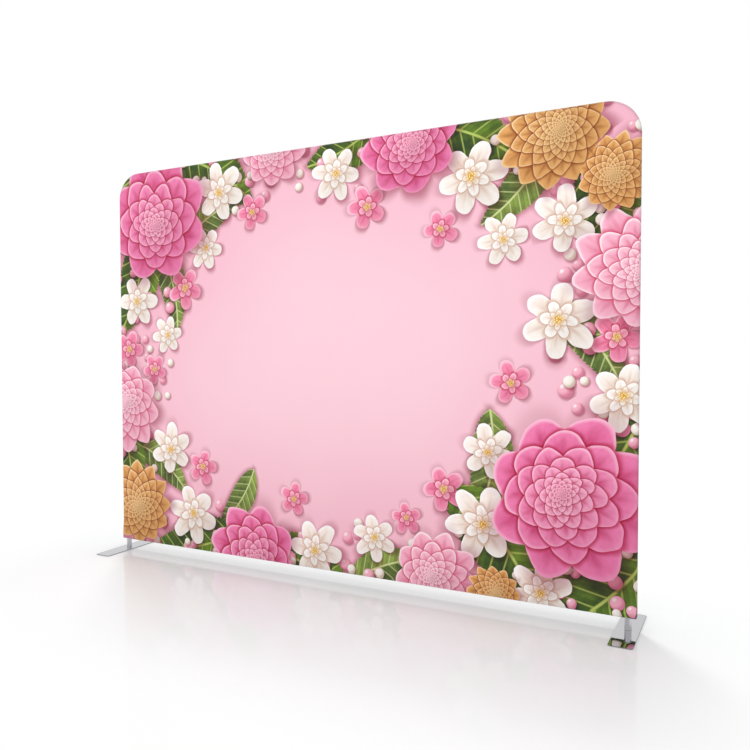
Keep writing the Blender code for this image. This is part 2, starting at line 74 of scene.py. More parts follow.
def node_adder(tree):
    """A function that adds one node to this tree and returns its output, or the node if it has none."""
    after_dot = {"Mix": "data_type", "MapRange": "interpolation_type"}
    prefixes = ("ShaderNode", "GeometryNode", "FunctionNode", "Node")

    def add(kind, *feeds, out=0, named=None, **settings):
        if kind in ("ADD", "MULTIPLY") and len(feeds) > 2:
            feeds = (add(kind, *feeds[:-1]), feeds[-1])
        name, _, choice = ("Math." + kind if kind.isupper() else kind).partition(".")
        node = tree.nodes.new(next(p + name for p in prefixes if hasattr(bpy.types, p + name)))
        if choice:
            setattr(node, after_dot.get(name, "operation"), choice)
        for key, value in settings.items():
            setattr(node, key, value)
        chosen = list(zip([socket for socket in node.inputs if socket.enabled], feeds))
        chosen += [(node.inputs[key], feed) for key, feed in (named or {}).items()]
        for socket, feed in chosen:
            if isinstance(feed, bpy.types.NodeSocket):
                tree.links.new(feed, socket)
            elif feed is not None:
                socket.default_value = linear(feed) if socket.type == "RGBA" else feed
        outputs = [socket for socket in node.outputs if socket.enabled]
        return outputs[out] if outputs else node
    return add


def new_material(name):
    """The emptied material of this name, its node adder, and a function that plugs in its surface."""
    made = bpy.data.materials.get(name) or bpy.data.materials.new(name)
    made.use_nodes = True
    made.node_tree.nodes.clear()
    add = node_adder(made.node_tree)
    return made, add, lambda shader: add("OutputMaterial", shader)


def new_object(name, data):
    made = bpy.data.objects.new(name, data)
    bpy.context.scene.collection.objects.link(made)
    return made


# %% [markdown]
# ## Camera
# The panel's four edges in the picture run to two vanishing points, which give the lens and the camera's
# place. It stands to the right of the panel at chest height and looks back to the left.

# %% Camera
camera_place = (1.920, -3.236, 1.198)
camera_turn, camera_dip, camera_roll = 27.45, 1.89, -0.10
camera_lens, sensor_width = 34.98, 36.0

camera = new_object("camera", bpy.data.cameras.new("camera"))
camera.data.lens = camera_lens
camera.data.sensor_width = sensor_width
turned, dipped, rolled = (Matrix.Rotation(math.radians(angle), 4, axis) for angle, axis in (
    (camera_turn, "Z"), (90 - camera_dip, "X"), (camera_roll, "Z")))
camera.matrix_world = Matrix.Translation(camera_place) @ turned @ dipped @ rolled
bpy.context.scene.camera = camera
bpy.context.scene.view_settings.view_transform = "Standard"
print("camera at", camera_place)

# %% [markdown]
# ## Floor, walls and light
# The object stands on a glossy white studio floor. A low sun-like lamp behind it throws the panel's shadow
# forwards and leaves a strip of lit floor under its lower edge, and a broad soft box in front lights the
# print at a plain level. Polished steel and the floor show the white studio and not the soft box itself. For
# the camera the floor is lifted towards white, more so further out, which melts the shadow into the
# background without more light on the object. Two Ambient Occlusion nodes darken it near what stands on it,
# a wide soft one and a narrow one right below, so that the panel and its feet don't float.

# %% World
ambient_strength = 0.50


def make_world():
    world = bpy.data.worlds.new("studio")
    bpy.context.scene.world = world
    world.use_nodes = True
    world.node_tree.nodes.clear()
    add = node_adder(world.node_tree)
    path = add("LightPath").node.outputs
    seen = add("MAXIMUM", path["Is Camera Ray"], path["Is Glossy Ray"])
    seen = add("MAXIMUM", seen, path["Is Transmission Ray"])
    ambient = add("Background", "F4F6FA", ambient_strength)
    white = add("Background", "FFFFFF", 1.0)
    add("OutputWorld", add("MixShader", seen, ambient, white))


make_world()
print("world ready")

# %% Floor
floor_size = 60.0
near_lift, far_lift = 0.42, 1.0
lift_reach, lift_reach_behind = 1.4, 0.6
lift_bend = 1.3
side_lift_from, side_lift_to = 1.50, 2.05
contact_reach, contact_line_reach = 0.30, 0.10
contact_samples = 8
gloss_near, gloss_far = 0.9, 0.1
gloss_roughness, gloss_refraction = 0.09, 1.36


def make_floor():
    mesh = bpy.data.meshes.new("floor")
    form = bmesh.new()
    bmesh.ops.create_grid(form, x_segments=1, y_segments=1, size=floor_size / 2)
    form.to_mesh(mesh)
    form.free()
    floor = new_object("floor", mesh)
    made, add, finish = new_material("glossy_white_floor")
    place = add("SeparateXYZ", add("TexCoord", out=3)).node.outputs
    ahead = add("MapRange", place["Y"], 0.0, -lift_reach, 0.0, 1.0)
    away = add("MAXIMUM", ahead, add("MapRange", place["Y"], 0.0, lift_reach_behind, 0.0, 1.0))
    unlifted = add("MapRange", add("POWER", away, lift_bend), 0.0, 1.0, 1 - near_lift, 1 - far_lift)
    beside = add("MapRange", add("ABSOLUTE", place["X"]), side_lift_from, side_lift_to, 1.0, 0.0)
    lift = add("SUBTRACT", 1.0, add("MULTIPLY", unlifted, beside))
    path = add("LightPath").node.outputs
    seen = add("MAXIMUM", path["Is Camera Ray"], path["Is Glossy Ray"])
    below = add("AmbientOcclusion", "F4F4F4", contact_line_reach, samples=contact_samples)
    matt = add("BsdfDiffuse", add("AmbientOcclusion", below, contact_reach, samples=contact_samples))
    white = add("Emission", "FFFFFF", 1.0)
    lifted = add("MixShader", add("MULTIPLY", lift, seen), matt, white)
    polish = add("BsdfAnisotropic", "FFFFFF", gloss_roughness)
    shown = add("MapRange", away, 0.0, 1.0, gloss_near, gloss_far)
    shown = add("MULTIPLY", add("Fresnel", gloss_refraction), shown, path["Is Camera Ray"])
    finish(add("MixShader", shown, lifted, polish))
    mesh.materials.append(made)
    print("floor", floor_size, "m wide")


make_floor()

# %% Lamps
sun_place, sun_direction = Vector((0.0, 3.0, 3.0)), Vector((0.60, -0.65, -1.30))
sun_strength, sun_spread = 1.70, 12.0
box_place, box_target = Vector((0.5, -7.0, 1.9)), Vector((0.0, 0.0, 1.15))
box_size, box_power = 4.0, 225.0


def make_lamp(name, kind, place, direction, power):
    lamp = new_object(name, bpy.data.lights.new(name, kind))
    lamp.data.energy = power
    lamp.location = place
    lamp.rotation_mode = "QUATERNION"
    lamp.rotation_quaternion = direction.to_track_quat("-Z", "Y")
    return lamp


sun = make_lamp("back_sun", "SUN", sun_place, sun_direction, sun_strength)
sun.data.angle = math.radians(sun_spread)
front_box = make_lamp("front_box", "AREA", box_place, box_target - box_place, box_power)
front_box.data.size = box_size
front_box.visible_glossy = False
print("lamps", sun.name, front_box.name)

# %% [markdown]
# ## The cover as a shape
# On the real thing two flat sheets of knitted cloth are sewn together round their edge and stretched over the
# frame until no crease is left. So the shape follows a rule: a flat grid of cloth is wrapped round the border
# tube. A modelled box with bevels would give the outline, but not a cloth whose print runs on round the edge.
# Here Geometry Nodes take a grid and count, for each point, its cells in from the seam. The first cells lie
# round the tube, the next ones fill the square in which a corner turns, and the rest are flat.

# %% Sizes that the cover takes from the frame
cover_low, cover_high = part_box("fabric_cover")
panel_width, panel_height = cover_high[0] - cover_low[0], cover_high[2] - cover_low[2]
panel_middle = (cover_high[2] + cover_low[2]) / 2
tube_radius = (cover_high[1] - cover_low[1]) / 2
corner_radius = 0.150
front_wrap, back_wrap = math.radians(150), math.radians(30)
seam_groove = 0.0007
cloth_thickness = 0.0005

seam_cells, tube_cells, corner_cells = 1, 9, 8
flat_columns, flat_rows = 44, 32
edge_cells = seam_cells + tube_cells + corner_cells
seam_cell_width = 0.0011
columns, rows = 2 * edge_cells + flat_columns, 2 * edge_cells + flat_rows
print("cover", round(panel_width, 3), "by", round(panel_height, 3), "cells", columns, "by", rows)

# %% A tree with named inputs, and its result as a plain mesh
def evaluated_mesh(holder):
    """The object's mesh with its modifiers made part of it."""
    seen = bpy.context.evaluated_depsgraph_get()
    return bpy.data.meshes.new_from_object(holder.evaluated_get(seen))


def new_tree(build, sizes):
    """A Geometry Nodes tree with the sizes as named inputs, for the shape that build(add, given) makes."""
    tree = bpy.data.node_groups.new(build.__name__, "GeometryNodeTree")
    tree.interface.new_socket("Mesh", in_out="INPUT", socket_type="NodeSocketGeometry")
    for label, size in sizes.items():
        kind = "NodeSocketInt" if isinstance(size, int) else "NodeSocketFloat"
        tree.interface.new_socket(label, in_out="INPUT", socket_type=kind).default_value = size
    tree.interface.new_socket("Material", in_out="INPUT", socket_type="NodeSocketMaterial")
    tree.interface.new_socket("Result", in_out="OUTPUT", socket_type="NodeSocketGeometry")
    add = node_adder(tree)
    given = add("GroupInput").node.outputs
    shape = add("RealizeInstances", build(add, given))
    add("GroupOutput", add("SetMaterial", shape, None, given["Material"]))
    return tree


def grown(name, build, sizes, material, start=None):
    """The mesh that build's tree makes from these sizes, as an object with no modifier left on it."""
    holder = new_object(name, start or bpy.data.meshes.new(name))
    modifier = holder.modifiers.new("tree", "NODES")
    modifier.node_group = bpy.data.node_groups.get(build.__name__) or new_tree(build, sizes)
    values = {**sizes, "Material": material}
    for item in modifier.node_group.interface.items_tree:
        if item.name in values:
            modifier[item.identifier] = values[item.name]
    mesh = evaluated_mesh(holder)
    bpy.data.objects.remove(holder)
    mesh.name = name
    mesh.materials.clear()
    mesh.materials.append(material)
    mesh.polygons.foreach_set("material_index", [0] * len(mesh.polygons))
    mesh.shade_smooth()
    return new_object(name, mesh)


# %% The rule that wraps a sheet round the border
round_power, square_power = 2.0, 44.0
round_section, boxy_section = 1.0, 0.36
boxy_from, boxy_to = 0.045, 0.110


def wrapped_sheet(add, given):
    """A sheet wrapped round the frame from one side, -1 for the front and 1 for the back."""
    corner, tube, wrap = given["Corner Radius"], given["Tube Radius"], given["Wrap"]
    cell = add("SeparateXYZ", add("InputPosition")).node.outputs
    axes = [(cell[axis], add("MULTIPLY", given[count], 0.5), add("MULTIPLY", given[size], 0.5))
            for axis, count, size in (("X", "Columns", "Width"), ("Y", "Rows", "Height"))]
    signs = [add("SIGN", at) for at, _, _ in axes]
    cells_from_edge = [add("SUBTRACT", half, add("ABSOLUTE", at)) for at, half, _ in axes]

    # How far the flat part reaches from the middle at this point, along and up the panel.
    bases = []
    for cells_in, (_, half_cells, half) in zip(cells_from_edge, axes):
        reach = add("SUBTRACT", half, corner)
        step = add("DIVIDE", reach, add("SUBTRACT", half_cells, edge_cells))
        beyond = add("MAXIMUM", add("SUBTRACT", cells_in, edge_cells), 0.0)
        bases.append(add("SUBTRACT", reach, add("MULTIPLY", beyond, step)))

    # From 1 at the seam to 0 where the corner's square ends, and with them the way out round the corner.
    shares = [add("MapRange", cells_in, 0.0, edge_cells, 1.0, 0.0) for cells_in in cells_from_edge]
    upper = add("GREATER_THAN", cell["Y"], 0.0)
    power = add("Mix", upper, square_power, round_power)
    largest = add("MAXIMUM", *shares)
    total = add("ADD", *(add("POWER", add("DIVIDE", share, largest), power) for share in shares))
    norm = add("MULTIPLY", largest, add("POWER", total, add("DIVIDE", 1.0, power)))
    aims = [add("DIVIDE", share, norm) for share in shares]

    def spread(ring):
        """Places along and up the panel, so far out from the inner corners of the corner squares."""
        return [add("MULTIPLY", sign, add("ADD", base, add("MULTIPLY", aim, ring)))
                for sign, base, aim in zip(signs, bases, aims)]

    # How far the point is from the seam along the cloth, and its angle round the tube.
    cells_in = add("MINIMUM", *cells_from_edge)
    wrap_length = add("MULTIPLY", tube, wrap)
    first = add("MULTIPLY", add("MINIMUM", cells_in, seam_cells), seam_cell_width)
    tube_share = add("MapRange", cells_in, seam_cells, seam_cells + tube_cells, 0.0, 1.0)
    along = add("ADD", first, add("MULTIPLY", tube_share, add("SUBTRACT", wrap_length, seam_cell_width)))
    angle = add("MULTIPLY", wrap, add("SUBTRACT", 1.0, add("DIVIDE", along, wrap_length)))
    inner = add("MapRange", cells_in, seam_cells + tube_cells, edge_cells, 0.0, add("SUBTRACT", corner, tube))

    # The lower edge is boxier than the tube. The upper half counts as a metre further from it.
    from_foot = add("ADD", bases[1], add("MULTIPLY", aims[1], corner))
    from_foot = add("ADD", add("SUBTRACT", axes[1][2], from_foot), upper)
    section = add("MapRange", from_foot, boxy_from, boxy_to, boxy_section, round_section)
    seam_near = add("SUBTRACT", 1.0, add("MINIMUM", cells_in, 1.0))
    swell = add("SUBTRACT", 1.0, add("MULTIPLY", add("DIVIDE", given["Groove"], tube), seam_near))
    sine, cosine = add("SINE", angle), add("COSINE", angle)
    outward = add("MULTIPLY", add("POWER", add("MAXIMUM", sine, 0.0), section), swell)
    bulge = add("MULTIPLY", add("SIGN", cosine), add("POWER", add("ABSOLUTE", cosine), section), swell)
    edge_gap = add("ADD", add("MULTIPLY", tube, add("SUBTRACT", 1.0, outward)), inner)
    across, up = spread(add("SUBTRACT", corner, edge_gap))
    out = add("MULTIPLY", given["Side"], tube, bulge)
    place = add("CombineXYZ", across, out, add("ADD", given["Middle"], up))

    # The same point on the cloth laid flat, for the print and the knit.
    unrolled = add("ADD", inner, add("SUBTRACT", along, add("SUBTRACT", wrap_length, tube)))
    cloth = add("CombineXYZ", *spread(add("SUBTRACT", corner, unrolled)))
    counts = [given["Columns"], given["Rows"]]
    grid = add("MeshGrid", *counts, *(add("ADD", count, 1.0) for count in counts))
    grid = add("StoreNamedAttribute", grid, None, "cloth", cloth, data_type="FLOAT2", domain="CORNER")
    return add("SetPosition", grid, None, place)


# %% [markdown]
# ## The cover as one sewn bag
# The front sheet is printed and runs round the sides of the frame to its rear edge. The back sheet is plain
# and meets it there. Both come from one tree, so their edges match point for point and merge into one bag.
# The cloth then gets its thickness inwards, and openings for the foot posts are cut out of its lower edge.

# %% Front and back sheets
front_cloth = bpy.data.materials.new("printed_stretch_knit")
back_cloth = bpy.data.materials.new("plain_stretch_knit")
sheet_sizes = {
    "Width": panel_width, "Height": panel_height, "Middle": panel_middle, "Corner Radius": corner_radius,
    "Tube Radius": tube_radius, "Groove": seam_groove, "Columns": columns, "Rows": rows}
front_sheet, back_sheet = (
    grown(name, wrapped_sheet, {**sheet_sizes, "Side": side, "Wrap": wrap}, cloth)
    for name, side, wrap, cloth in (("front_sheet", -1.0, front_wrap, front_cloth),
                                    ("back_sheet", 1.0, back_wrap, back_cloth)))
print("sheet faces", len(front_sheet.data.polygons), len(back_sheet.data.polygons))

# %% One bag with its thickness and its post openings
merge_gap = 0.0001
opening_radius, opening_sides, opening_depth = 0.0158, 48, 0.02
foot_places = {}
for side in ("left", "right"):
    post_low, post_high = (Vector(corner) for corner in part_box(side + "_foot_post"))
    foot_places[side] = (post_low + post_high) / 2


def from_form(name, form, *materials, crease=35):
    """An object from a bmesh, smooth but for its edges sharper than the crease, in degrees."""
    mesh = bpy.data.meshes.new(name)
    form.to_mesh(mesh)
    form.free()
    for material in materials:
        mesh.materials.append(material)
    mesh.shade_smooth()
    mesh.set_sharp_from_angle(angle=math.radians(crease))
    return new_object(name, mesh)


def placed(piece, slot, *replaced):
    """The piece fixed to the frame, with the nodes that it stands for hidden. Its slot is not used."""
    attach(piece, "frame_and_cover")
    if replaced:
        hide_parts(*replaced)
    print(piece.name, "faces", len(piece.data.polygons))
    return piece


def make_cover():
    form = bmesh.new()
    form.from_mesh(front_sheet.data)
    front_count = len(form.faces)
    form.from_mesh(back_sheet.data)
    form.faces.ensure_lookup_table()
    for face in form.faces[front_count:]:
        face.material_index = 1
    bmesh.ops.remove_doubles(form, verts=form.verts[:], dist=merge_gap)
    bmesh.ops.recalc_face_normals(form, faces=form.faces[:])
    print("open edges before the wall", sum(not edge.is_manifold for edge in form.edges))
    cover = from_form("cover", form, front_cloth, back_cloth)
    wall = cover.modifiers.new("thickness", "SOLIDIFY")
    wall.thickness = cloth_thickness
    wall.offset = -1.0
    cutters = []
    for place in foot_places.values():
        hole = bmesh.new()
        bmesh.ops.create_cone(hole, cap_ends=True, segments=opening_sides, radius1=opening_radius,
                              radius2=opening_radius, depth=opening_depth,
                              matrix=Matrix.Translation((place.x, place.y, cover_low[2])))
        cutters.append(from_form("opening", hole))
        cut = cover.modifiers.new("opening", "BOOLEAN")
        cut.object = cutters[-1]
        cut.operation = "DIFFERENCE"
        cut.solver = "EXACT"
    mesh = evaluated_mesh(cover)
    cover.modifiers.clear()
    cover.data = mesh
    for cutter in cutters:
        bpy.data.objects.remove(cutter)
    return placed(cover, "cover_fabric", "fabric_cover")


cover = make_cover()

# %% [markdown]
# ## The seam
# A four-thread overlock seam joins the sheets. Pulled tight over the frame it opens a little, and the thread
# shows as a ladder of short rungs across a fine groove. The groove is in the sheets' own shape. The rungs
# repeat along a path, so nodes take the front sheet's open edge, space points along it and put one thread on
# each, turned across the seam.

# %% Seam thread
stitch_pitch = 0.004
stitch_length, stitch_thickness = 0.0030, 0.0005
stitch_sides, stitch_rings = 5, 4
unit_ball = 0.5
thread_material = bpy.data.materials.new("polyester_thread")


def seam_rungs(add, given):
    edge = add("Compare.EQUAL", add("InputMeshEdgeNeighbors"), 1, data_type="INT")
    path = add("MeshToCurve", given["Mesh"], edge)
    path = add("ResampleCurve", path, None, given["Pitch"], mode="LENGTH")
    outward = add("VectorMath.CROSS_PRODUCT", add("InputTangent"), (0.0, 1.0, 0.0))
    centre = add("CombineXYZ", 0.0, 0.0, given["Middle"])
    from_centre = add("VectorMath.SUBTRACT", add("InputPosition"), centre)
    sign = add("SIGN", add("VectorMath.DOT_PRODUCT", outward, from_centre))
    outward = add("VectorMath.SCALE", outward, sign)

    def leaning(out_share, back_share):
        """A direction made of so much outward and so much towards the back."""
        back = add("CombineXYZ", 0.0, back_share, 0.0)
        return add("VectorMath.ADD", add("VectorMath.SCALE", outward, out_share), back)

    sine, cosine = add("SINE", given["Wrap"]), add("COSINE", given["Wrap"])
    lifted = leaning(sine, add("MULTIPLY", cosine, -1.0))
    path = add("SetPosition", path, None, None, add("VectorMath.SCALE", lifted, given["Groove"]))
    turn = add("AlignRotationToVector", None, None, leaning(cosine, sine), axis="Z")
    rung = add("MeshUVSphere", stitch_sides, stitch_rings, unit_ball)
    size = add("CombineXYZ", given["Thickness"], given["Thickness"], given["Length"])
    rung = add("Transform", rung, None, None, size)
    return add("InstanceOnPoints", path, None, rung, None, None, turn)


seam_sizes = {"Middle": panel_middle, "Wrap": front_wrap, "Groove": seam_groove, "Pitch": stitch_pitch,
              "Length": stitch_length, "Thickness": stitch_thickness}
seam = placed(grown("seam_thread", seam_rungs, seam_sizes, thread_material, front_sheet.data), "cover_fabric")
for sheet in (front_sheet, back_sheet):
    bpy.data.objects.remove(sheet)

# %% [markdown]
# ## The zip
# The cover closes with a long coil zip across the back, low down where it isn't seen. The coil is two rows of
# nylon loops that mesh, sewn to a woven tape, and the cloth is folded back and topstitched on either side of
# it. Tape and folds are one section drawn along the whole width. The loops and the topstitches repeat, so
# nodes set one small bead on each point of a line.

# %% Tape and folds
zip_low, zip_high = (Vector(corner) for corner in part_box("zip_chain"))
zip_height = (zip_low.z + zip_high.z) / 2
cloth_back = cover_high[1]
tape_half, tape_proud = 0.0050, 0.0002
fold_inner, fold_outer, fold_proud, fold_edge = 0.0046, 0.0125, 0.00065, 0.0004
zip_sink = 0.0002
tape_material = bpy.data.materials.new("woven_zip_tape")
coil_material = bpy.data.materials.new("nylon_zip_coil")
hem_cloth = bpy.data.materials.new("hem_knit")


def make_strip(name, section, material, slot):
    """A strip along the zip: its section is (up from the zip's middle, out from the cloth), in metres."""
    form = bmesh.new()
    start, end = ([form.verts.new((x, cloth_back + out, zip_height + up)) for up, out in section]
                  for x in (zip_low.x, zip_high.x))
    for i in range(len(section)):
        form.faces.new((start[i - 1], start[i], end[i], end[i - 1]))
    form.faces.new(start)
    form.faces.new(end)
    bmesh.ops.recalc_face_normals(form, faces=form.faces[:])
    return placed(from_form(name, form, material), slot)


def fold_section(side):
    inner, outer, edge = side * fold_inner, side * fold_outer, side * fold_edge
    return [(inner, -zip_sink), (inner, fold_proud - fold_edge), (inner + edge, fold_proud),
            (outer - edge, fold_proud), (outer, fold_proud - fold_edge), (outer, -zip_sink)]


tape = make_strip("zip_tape", [(-tape_half, -zip_sink), (tape_half, -zip_sink), (tape_half, tape_proud),
                               (-tape_half, tape_proud)], tape_material, "zip_nylon")
folds = {name: make_strip(name, fold_section(side), hem_cloth, "cover_fabric")
         for name, side in (("upper_fold", 1), ("lower_fold", -1))}

# %% Coil and topstitches
coil_pitch, loop_size, loop_from_middle = 0.002, (0.0013, 0.0009, 0.0026), 0.0011
top_pitch, top_size, top_from_middle = 0.0035, (0.0026, 0.0005, 0.0005), 0.0085
bead_sides, bead_rings = 6, 4
bead_proud_share = 0.2


def row_of_beads(add, given):
    count = add("FLOOR", add("DIVIDE", add("SUBTRACT", given["End"], given["Start"]), given["Pitch"]))
    first = add("CombineXYZ", add("ADD", given["Start"], given["Shift"]), given["Out"], given["Up"])
    line = add("MeshLine", count, first, add("CombineXYZ", given["Pitch"]))
    size = add("CombineXYZ", *(given["Size " + axis] for axis in "XYZ"))
    bead = add("Transform", add("MeshUVSphere", bead_sides, bead_rings, unit_ball), None, None, size)
    return add("InstanceOnPoints", line, None, bead)


def make_row(name, up, shift, pitch, size, material, slot, *replaced):
    """A row of beads along the zip. A bead's size is along, out and up."""
    row_sizes = {"Start": zip_low.x + pitch, "End": zip_high.x - pitch, "Pitch": pitch, "Shift": shift,
                 "Out": cloth_back + size[1] * bead_proud_share, "Up": zip_height + up,
                 "Size X": size[0], "Size Y": size[1], "Size Z": size[2]}
    return placed(grown(name, row_of_beads, row_sizes, material), slot, *replaced)


coil = (coil_pitch, loop_size, coil_material, "zip_nylon")
stitches = (top_pitch, top_size, thread_material, "cover_fabric")
rows_made = [make_row("upper_loops", loop_from_middle, 0.0, *coil, "zip_chain"),
             make_row("lower_loops", -loop_from_middle, coil_pitch / 2, *coil),
             make_row("upper_topstitch", top_from_middle, 0.0, *stitches),
             make_row("lower_topstitch", -top_from_middle, 0.0, *stitches)]

# %% [markdown]
# ## The feet
# Each foot is a stainless steel plate, sheared and mirror polished, with a short tube welded upright on it.
# Polishing breaks the plate's edges, so it is modelled again with a fine bevel that catches the light. Its
# sheared sides stay dull, and are painted darker than bare steel as shade along the edge. The weld gets its
# bead. The tube itself keeps its solid. Where it enters the cover, a narrow binding is sewn round the
# opening.

# %% Foot plates
plate_corner, plate_corner_steps = 0.012, 6
plate_bevel, plate_bevel_steps = 0.0006, 2
plate_crease, side_slope = 20, 0.95
steel_plate = bpy.data.materials.new("mirror_polished_stainless")
sheared_steel_and_shade = bpy.data.materials.new("sheared_stainless_and_painted_shade")
steel_weld = bpy.data.materials.new("brushed_weld")


def make_plate(side):
    node = side + "_foot_plate"
    low, high = (Vector(corner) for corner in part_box(node))
    span = high - low
    form = bmesh.new()
    bmesh.ops.create_cube(form, size=1.0,
                          matrix=Matrix.Translation((low + high) / 2) @ Matrix.Diagonal((*span, 1.0)))
    bevels = ((True, plate_corner, plate_corner_steps), (False, plate_bevel, plate_bevel_steps))
    for upright, offset, steps in bevels:
        edges = [edge for edge in form.edges
                 if upright == (abs(edge.verts[0].co.z - edge.verts[1].co.z) > span.z / 2)]
        bmesh.ops.bevel(form, geom=edges, offset=offset, segments=steps, profile=0.5, affect="EDGES",
                        clamp_overlap=True)
    for face in form.faces:
        face.material_index = int(abs(face.normal.z) < side_slope)
    plate = from_form(side + "_polished_plate", form, steel_plate, sheared_steel_and_shade, crease=plate_crease)
    return placed(plate, "plate_steel", node)


# %% Weld beads and bindings
post_radius = 0.015
ring_steps = 48
bead_width, bead_height, bead_steps = 0.0010, 0.0011, 5
binding_radius, binding_half, binding_steps = 0.0161, 0.0007, 8


def ring_round_post(name, side, section_at, material):
    """A ring round a foot post. section_at gives the section's (radius, height) points at a turn's sine."""
    place = foot_places[side]
    form = bmesh.new()
    hoops = []
    for turn in (2 * math.pi * i / ring_steps for i in range(ring_steps)):
        hoops.append([form.verts.new((place.x + r * math.cos(turn), place.y + r * math.sin(turn), z))
                      for r, z in section_at(math.sin(turn))])
    for i, hoop in enumerate(hoops):
        for j in range(len(hoop)):
            form.faces.new((hoops[i - 1][j - 1], hoop[j - 1], hoop[j], hoops[i - 1][j]))
    bmesh.ops.recalc_face_normals(form, faces=form.faces[:])
    return from_form(name, form, material)


def make_bead(side):
    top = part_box(side + "_foot_plate")[1][2]
    inner = post_radius - bead_width / 2
    turns = [i / bead_steps * math.pi / 2 for i in range(bead_steps + 1)]
    curve = [(post_radius + bead_width * math.cos(turn), top + bead_height * math.sin(turn))
             for turn in turns]
    section = [(inner, top), *curve, (inner, top + bead_height)]
    return placed(ring_round_post(side + "_weld_bead", side, lambda sine: section, steel_weld), "post_steel")


def make_binding(side):
    turns = [2 * math.pi * i / binding_steps for i in range(binding_steps)]

    def section(sine):
        """The binding's round section, at the height to which the cover's boxy lower edge has curved up."""
        share = min(abs(binding_radius * sine) / tube_radius, 1.0) ** (2 / boxy_section)
        height = cover_low[2] + tube_radius * (1 - (1 - share) ** (boxy_section / 2))
        return [(binding_radius + binding_half * math.cos(turn), height + binding_half * math.sin(turn))
                for turn in turns]

    return placed(ring_round_post(side + "_opening_binding", side, section, hem_cloth), "cover_fabric")


for side in foot_places:
    make_plate(side)
    make_bead(side)
    make_binding(side)

# %% [markdown]
# ## Knitted cloth
# The cover is a warp-knitted polyester that stretches both ways. Close up it is rows of small loops, each a
# V. They are drawn here from the cloth's own coordinates, in metres along the sheet, so that they follow the
# cloth round the tube. The real loops are about half a millimetre wide and would vanish, so they are drawn
# three times as coarse. The cloth has no gloss: it scatters light, with a faint sheen from the fibres.

# %% Knit
loop_pitch = 0.0015
knit_depth, knit_strength = 0.00012, 0.35
cloth_roughness, cloth_sheen, sheen_roughness = 0.88, 0.10, 0.5
course_low = 0.45
fibre_scale, tone_and_shade_low, tone_and_shade_high = 900.0, 0.94, 1.03


def knit_height(add, across, up):
    """Height of the knit, from 0 between the loops to 1 on them."""
    column = add("DIVIDE", across, loop_pitch)
    wale = add("ABSOLUTE", add("SINE", add("MULTIPLY", column, math.pi)))
    course = add("ADD", add("DIVIDE", up, loop_pitch), add("PINGPONG", column, 0.5))
    course = add("ABSOLUTE", add("SINE", add("MULTIPLY", course, math.pi)))
    return add("MULTIPLY", wale, add("MapRange", course, 0.0, 1.0, course_low, 1.0))


def finish_cloth(name, colour_of, unrolled=True):
    """A knitted cloth whose colour is worked out by colour_of from the place on the cloth."""
    made, add, finish = new_material(name)
    place = add("Attribute", attribute_name="cloth", out=1) if unrolled else add("TexCoord", out=3)
    part = add("SeparateXYZ", place).node.outputs
    across, up = part["X"], part["Y"] if unrolled else add("ADD", part["Y"], part["Z"])
    height = knit_height(add, across, up)
    fibre = add("TexNoise", place, fibre_scale, 2.0, 0.6)
    # Painted shade: the colour is darker between the knit's loops, and varies at random with the fibre.
    fibre_tone_and_loop_shade = add("MapRange", add("MULTIPLY", fibre, height), 0.0, 0.7, tone_and_shade_low, tone_and_shade_high)
    colour = add("VectorMath.SCALE", colour_of(add, place, across, up), fibre_tone_and_loop_shade)
    bump = add("Bump", named={"Strength": knit_strength, "Distance": knit_depth, "Height": height})
    finish(add("BsdfPrincipled", named={
        "Base Color": colour, "Roughness": cloth_roughness, "Sheen Weight": cloth_sheen,
        "Sheen Roughness": sheen_roughness, "Normal": bump}))
    print(made.name, "nodes", len(made.node_tree.nodes))


# %% Plain cloth
cloud_scale = 3.0
backed_to, free_from, unbacked_shade_grey = 0.6 * tube_radius, 2.2 * tube_radius, 0.4
soft_step = "MapRange.SMOOTHSTEP"


def plain_white(add, place, across, up):
    """White cloth, brighter over the border tubes and the middle pole, and painted greyer, as shade, where
    none backs it.
    """
    cloud = add("TexNoise", place, cloud_scale, 2.0, 0.5)
    colour = add("Mix.RGBA", cloud, "EEEEED", "F4F4F3")
    from_sides = add("SUBTRACT", panel_width / 2, add("ABSOLUTE", across))
    from_ends = add("SUBTRACT", panel_height / 2, add("ABSOLUTE", up))
    from_tube = add("MINIMUM", add("MINIMUM", from_sides, from_ends), add("ABSOLUTE", across))
    # Painted shade: the cloth is painted grey where no tube or pole stands behind it.
    free = add(soft_step, from_tube, backed_to, free_from, 0.0, unbacked_shade_grey)
    return add("Mix.RGBA", free, colour, "DDDDDE")


# %% [markdown]
# ## The print as a picture
# The cloth is printed by dye sublimation: paper inks pass into the fibre as gas, so the picture has no edge
# or gloss of its own. It is drawn here as nodes and not as pixels, so it stays sharp from any distance. Each
# motif is a small formula in its own coordinates, where 1 is its radius. A chain of nodes keeps, for each
# point of the cloth, only the nearest motif of a layer, and the layers are laid over one another from the
# leaves up.

# %% Placing motifs
nowhere = 9.0


def nearest_place(add, point, places):
    """The point seen from its nearest place, in radii, with that place's turn as Z, and how far it is."""
    spot, far = (nowhere, nowhere, 0.0), nowhere
    for across, up, radius, turn in places:
        seen = add("VectorMath.MULTIPLY_ADD", point, (1 / radius, 1 / radius, 0.0),
                   (-across / radius, -up / radius, turn))
        distance = add("VectorMath.DISTANCE", seen, (0.0, 0.0, turn))
        spot = add("Mix.VECTOR", add("LESS_THAN", distance, far), spot, seen)
        far = add("MINIMUM", distance, far)
    return spot, far


# %% [markdown]
# ## A bloom
# A full flower seen from above is rings of petals, each ring smaller than the last by the same factor and
# turned by half a petal. In the logarithm of the radius such rings are evenly spaced, so one formula finds
# the ring and the petal that lie on top at any point, and how deep inside that petal the point is. With many
# rings it makes a camellia, and with one or two it makes a simple blossom.

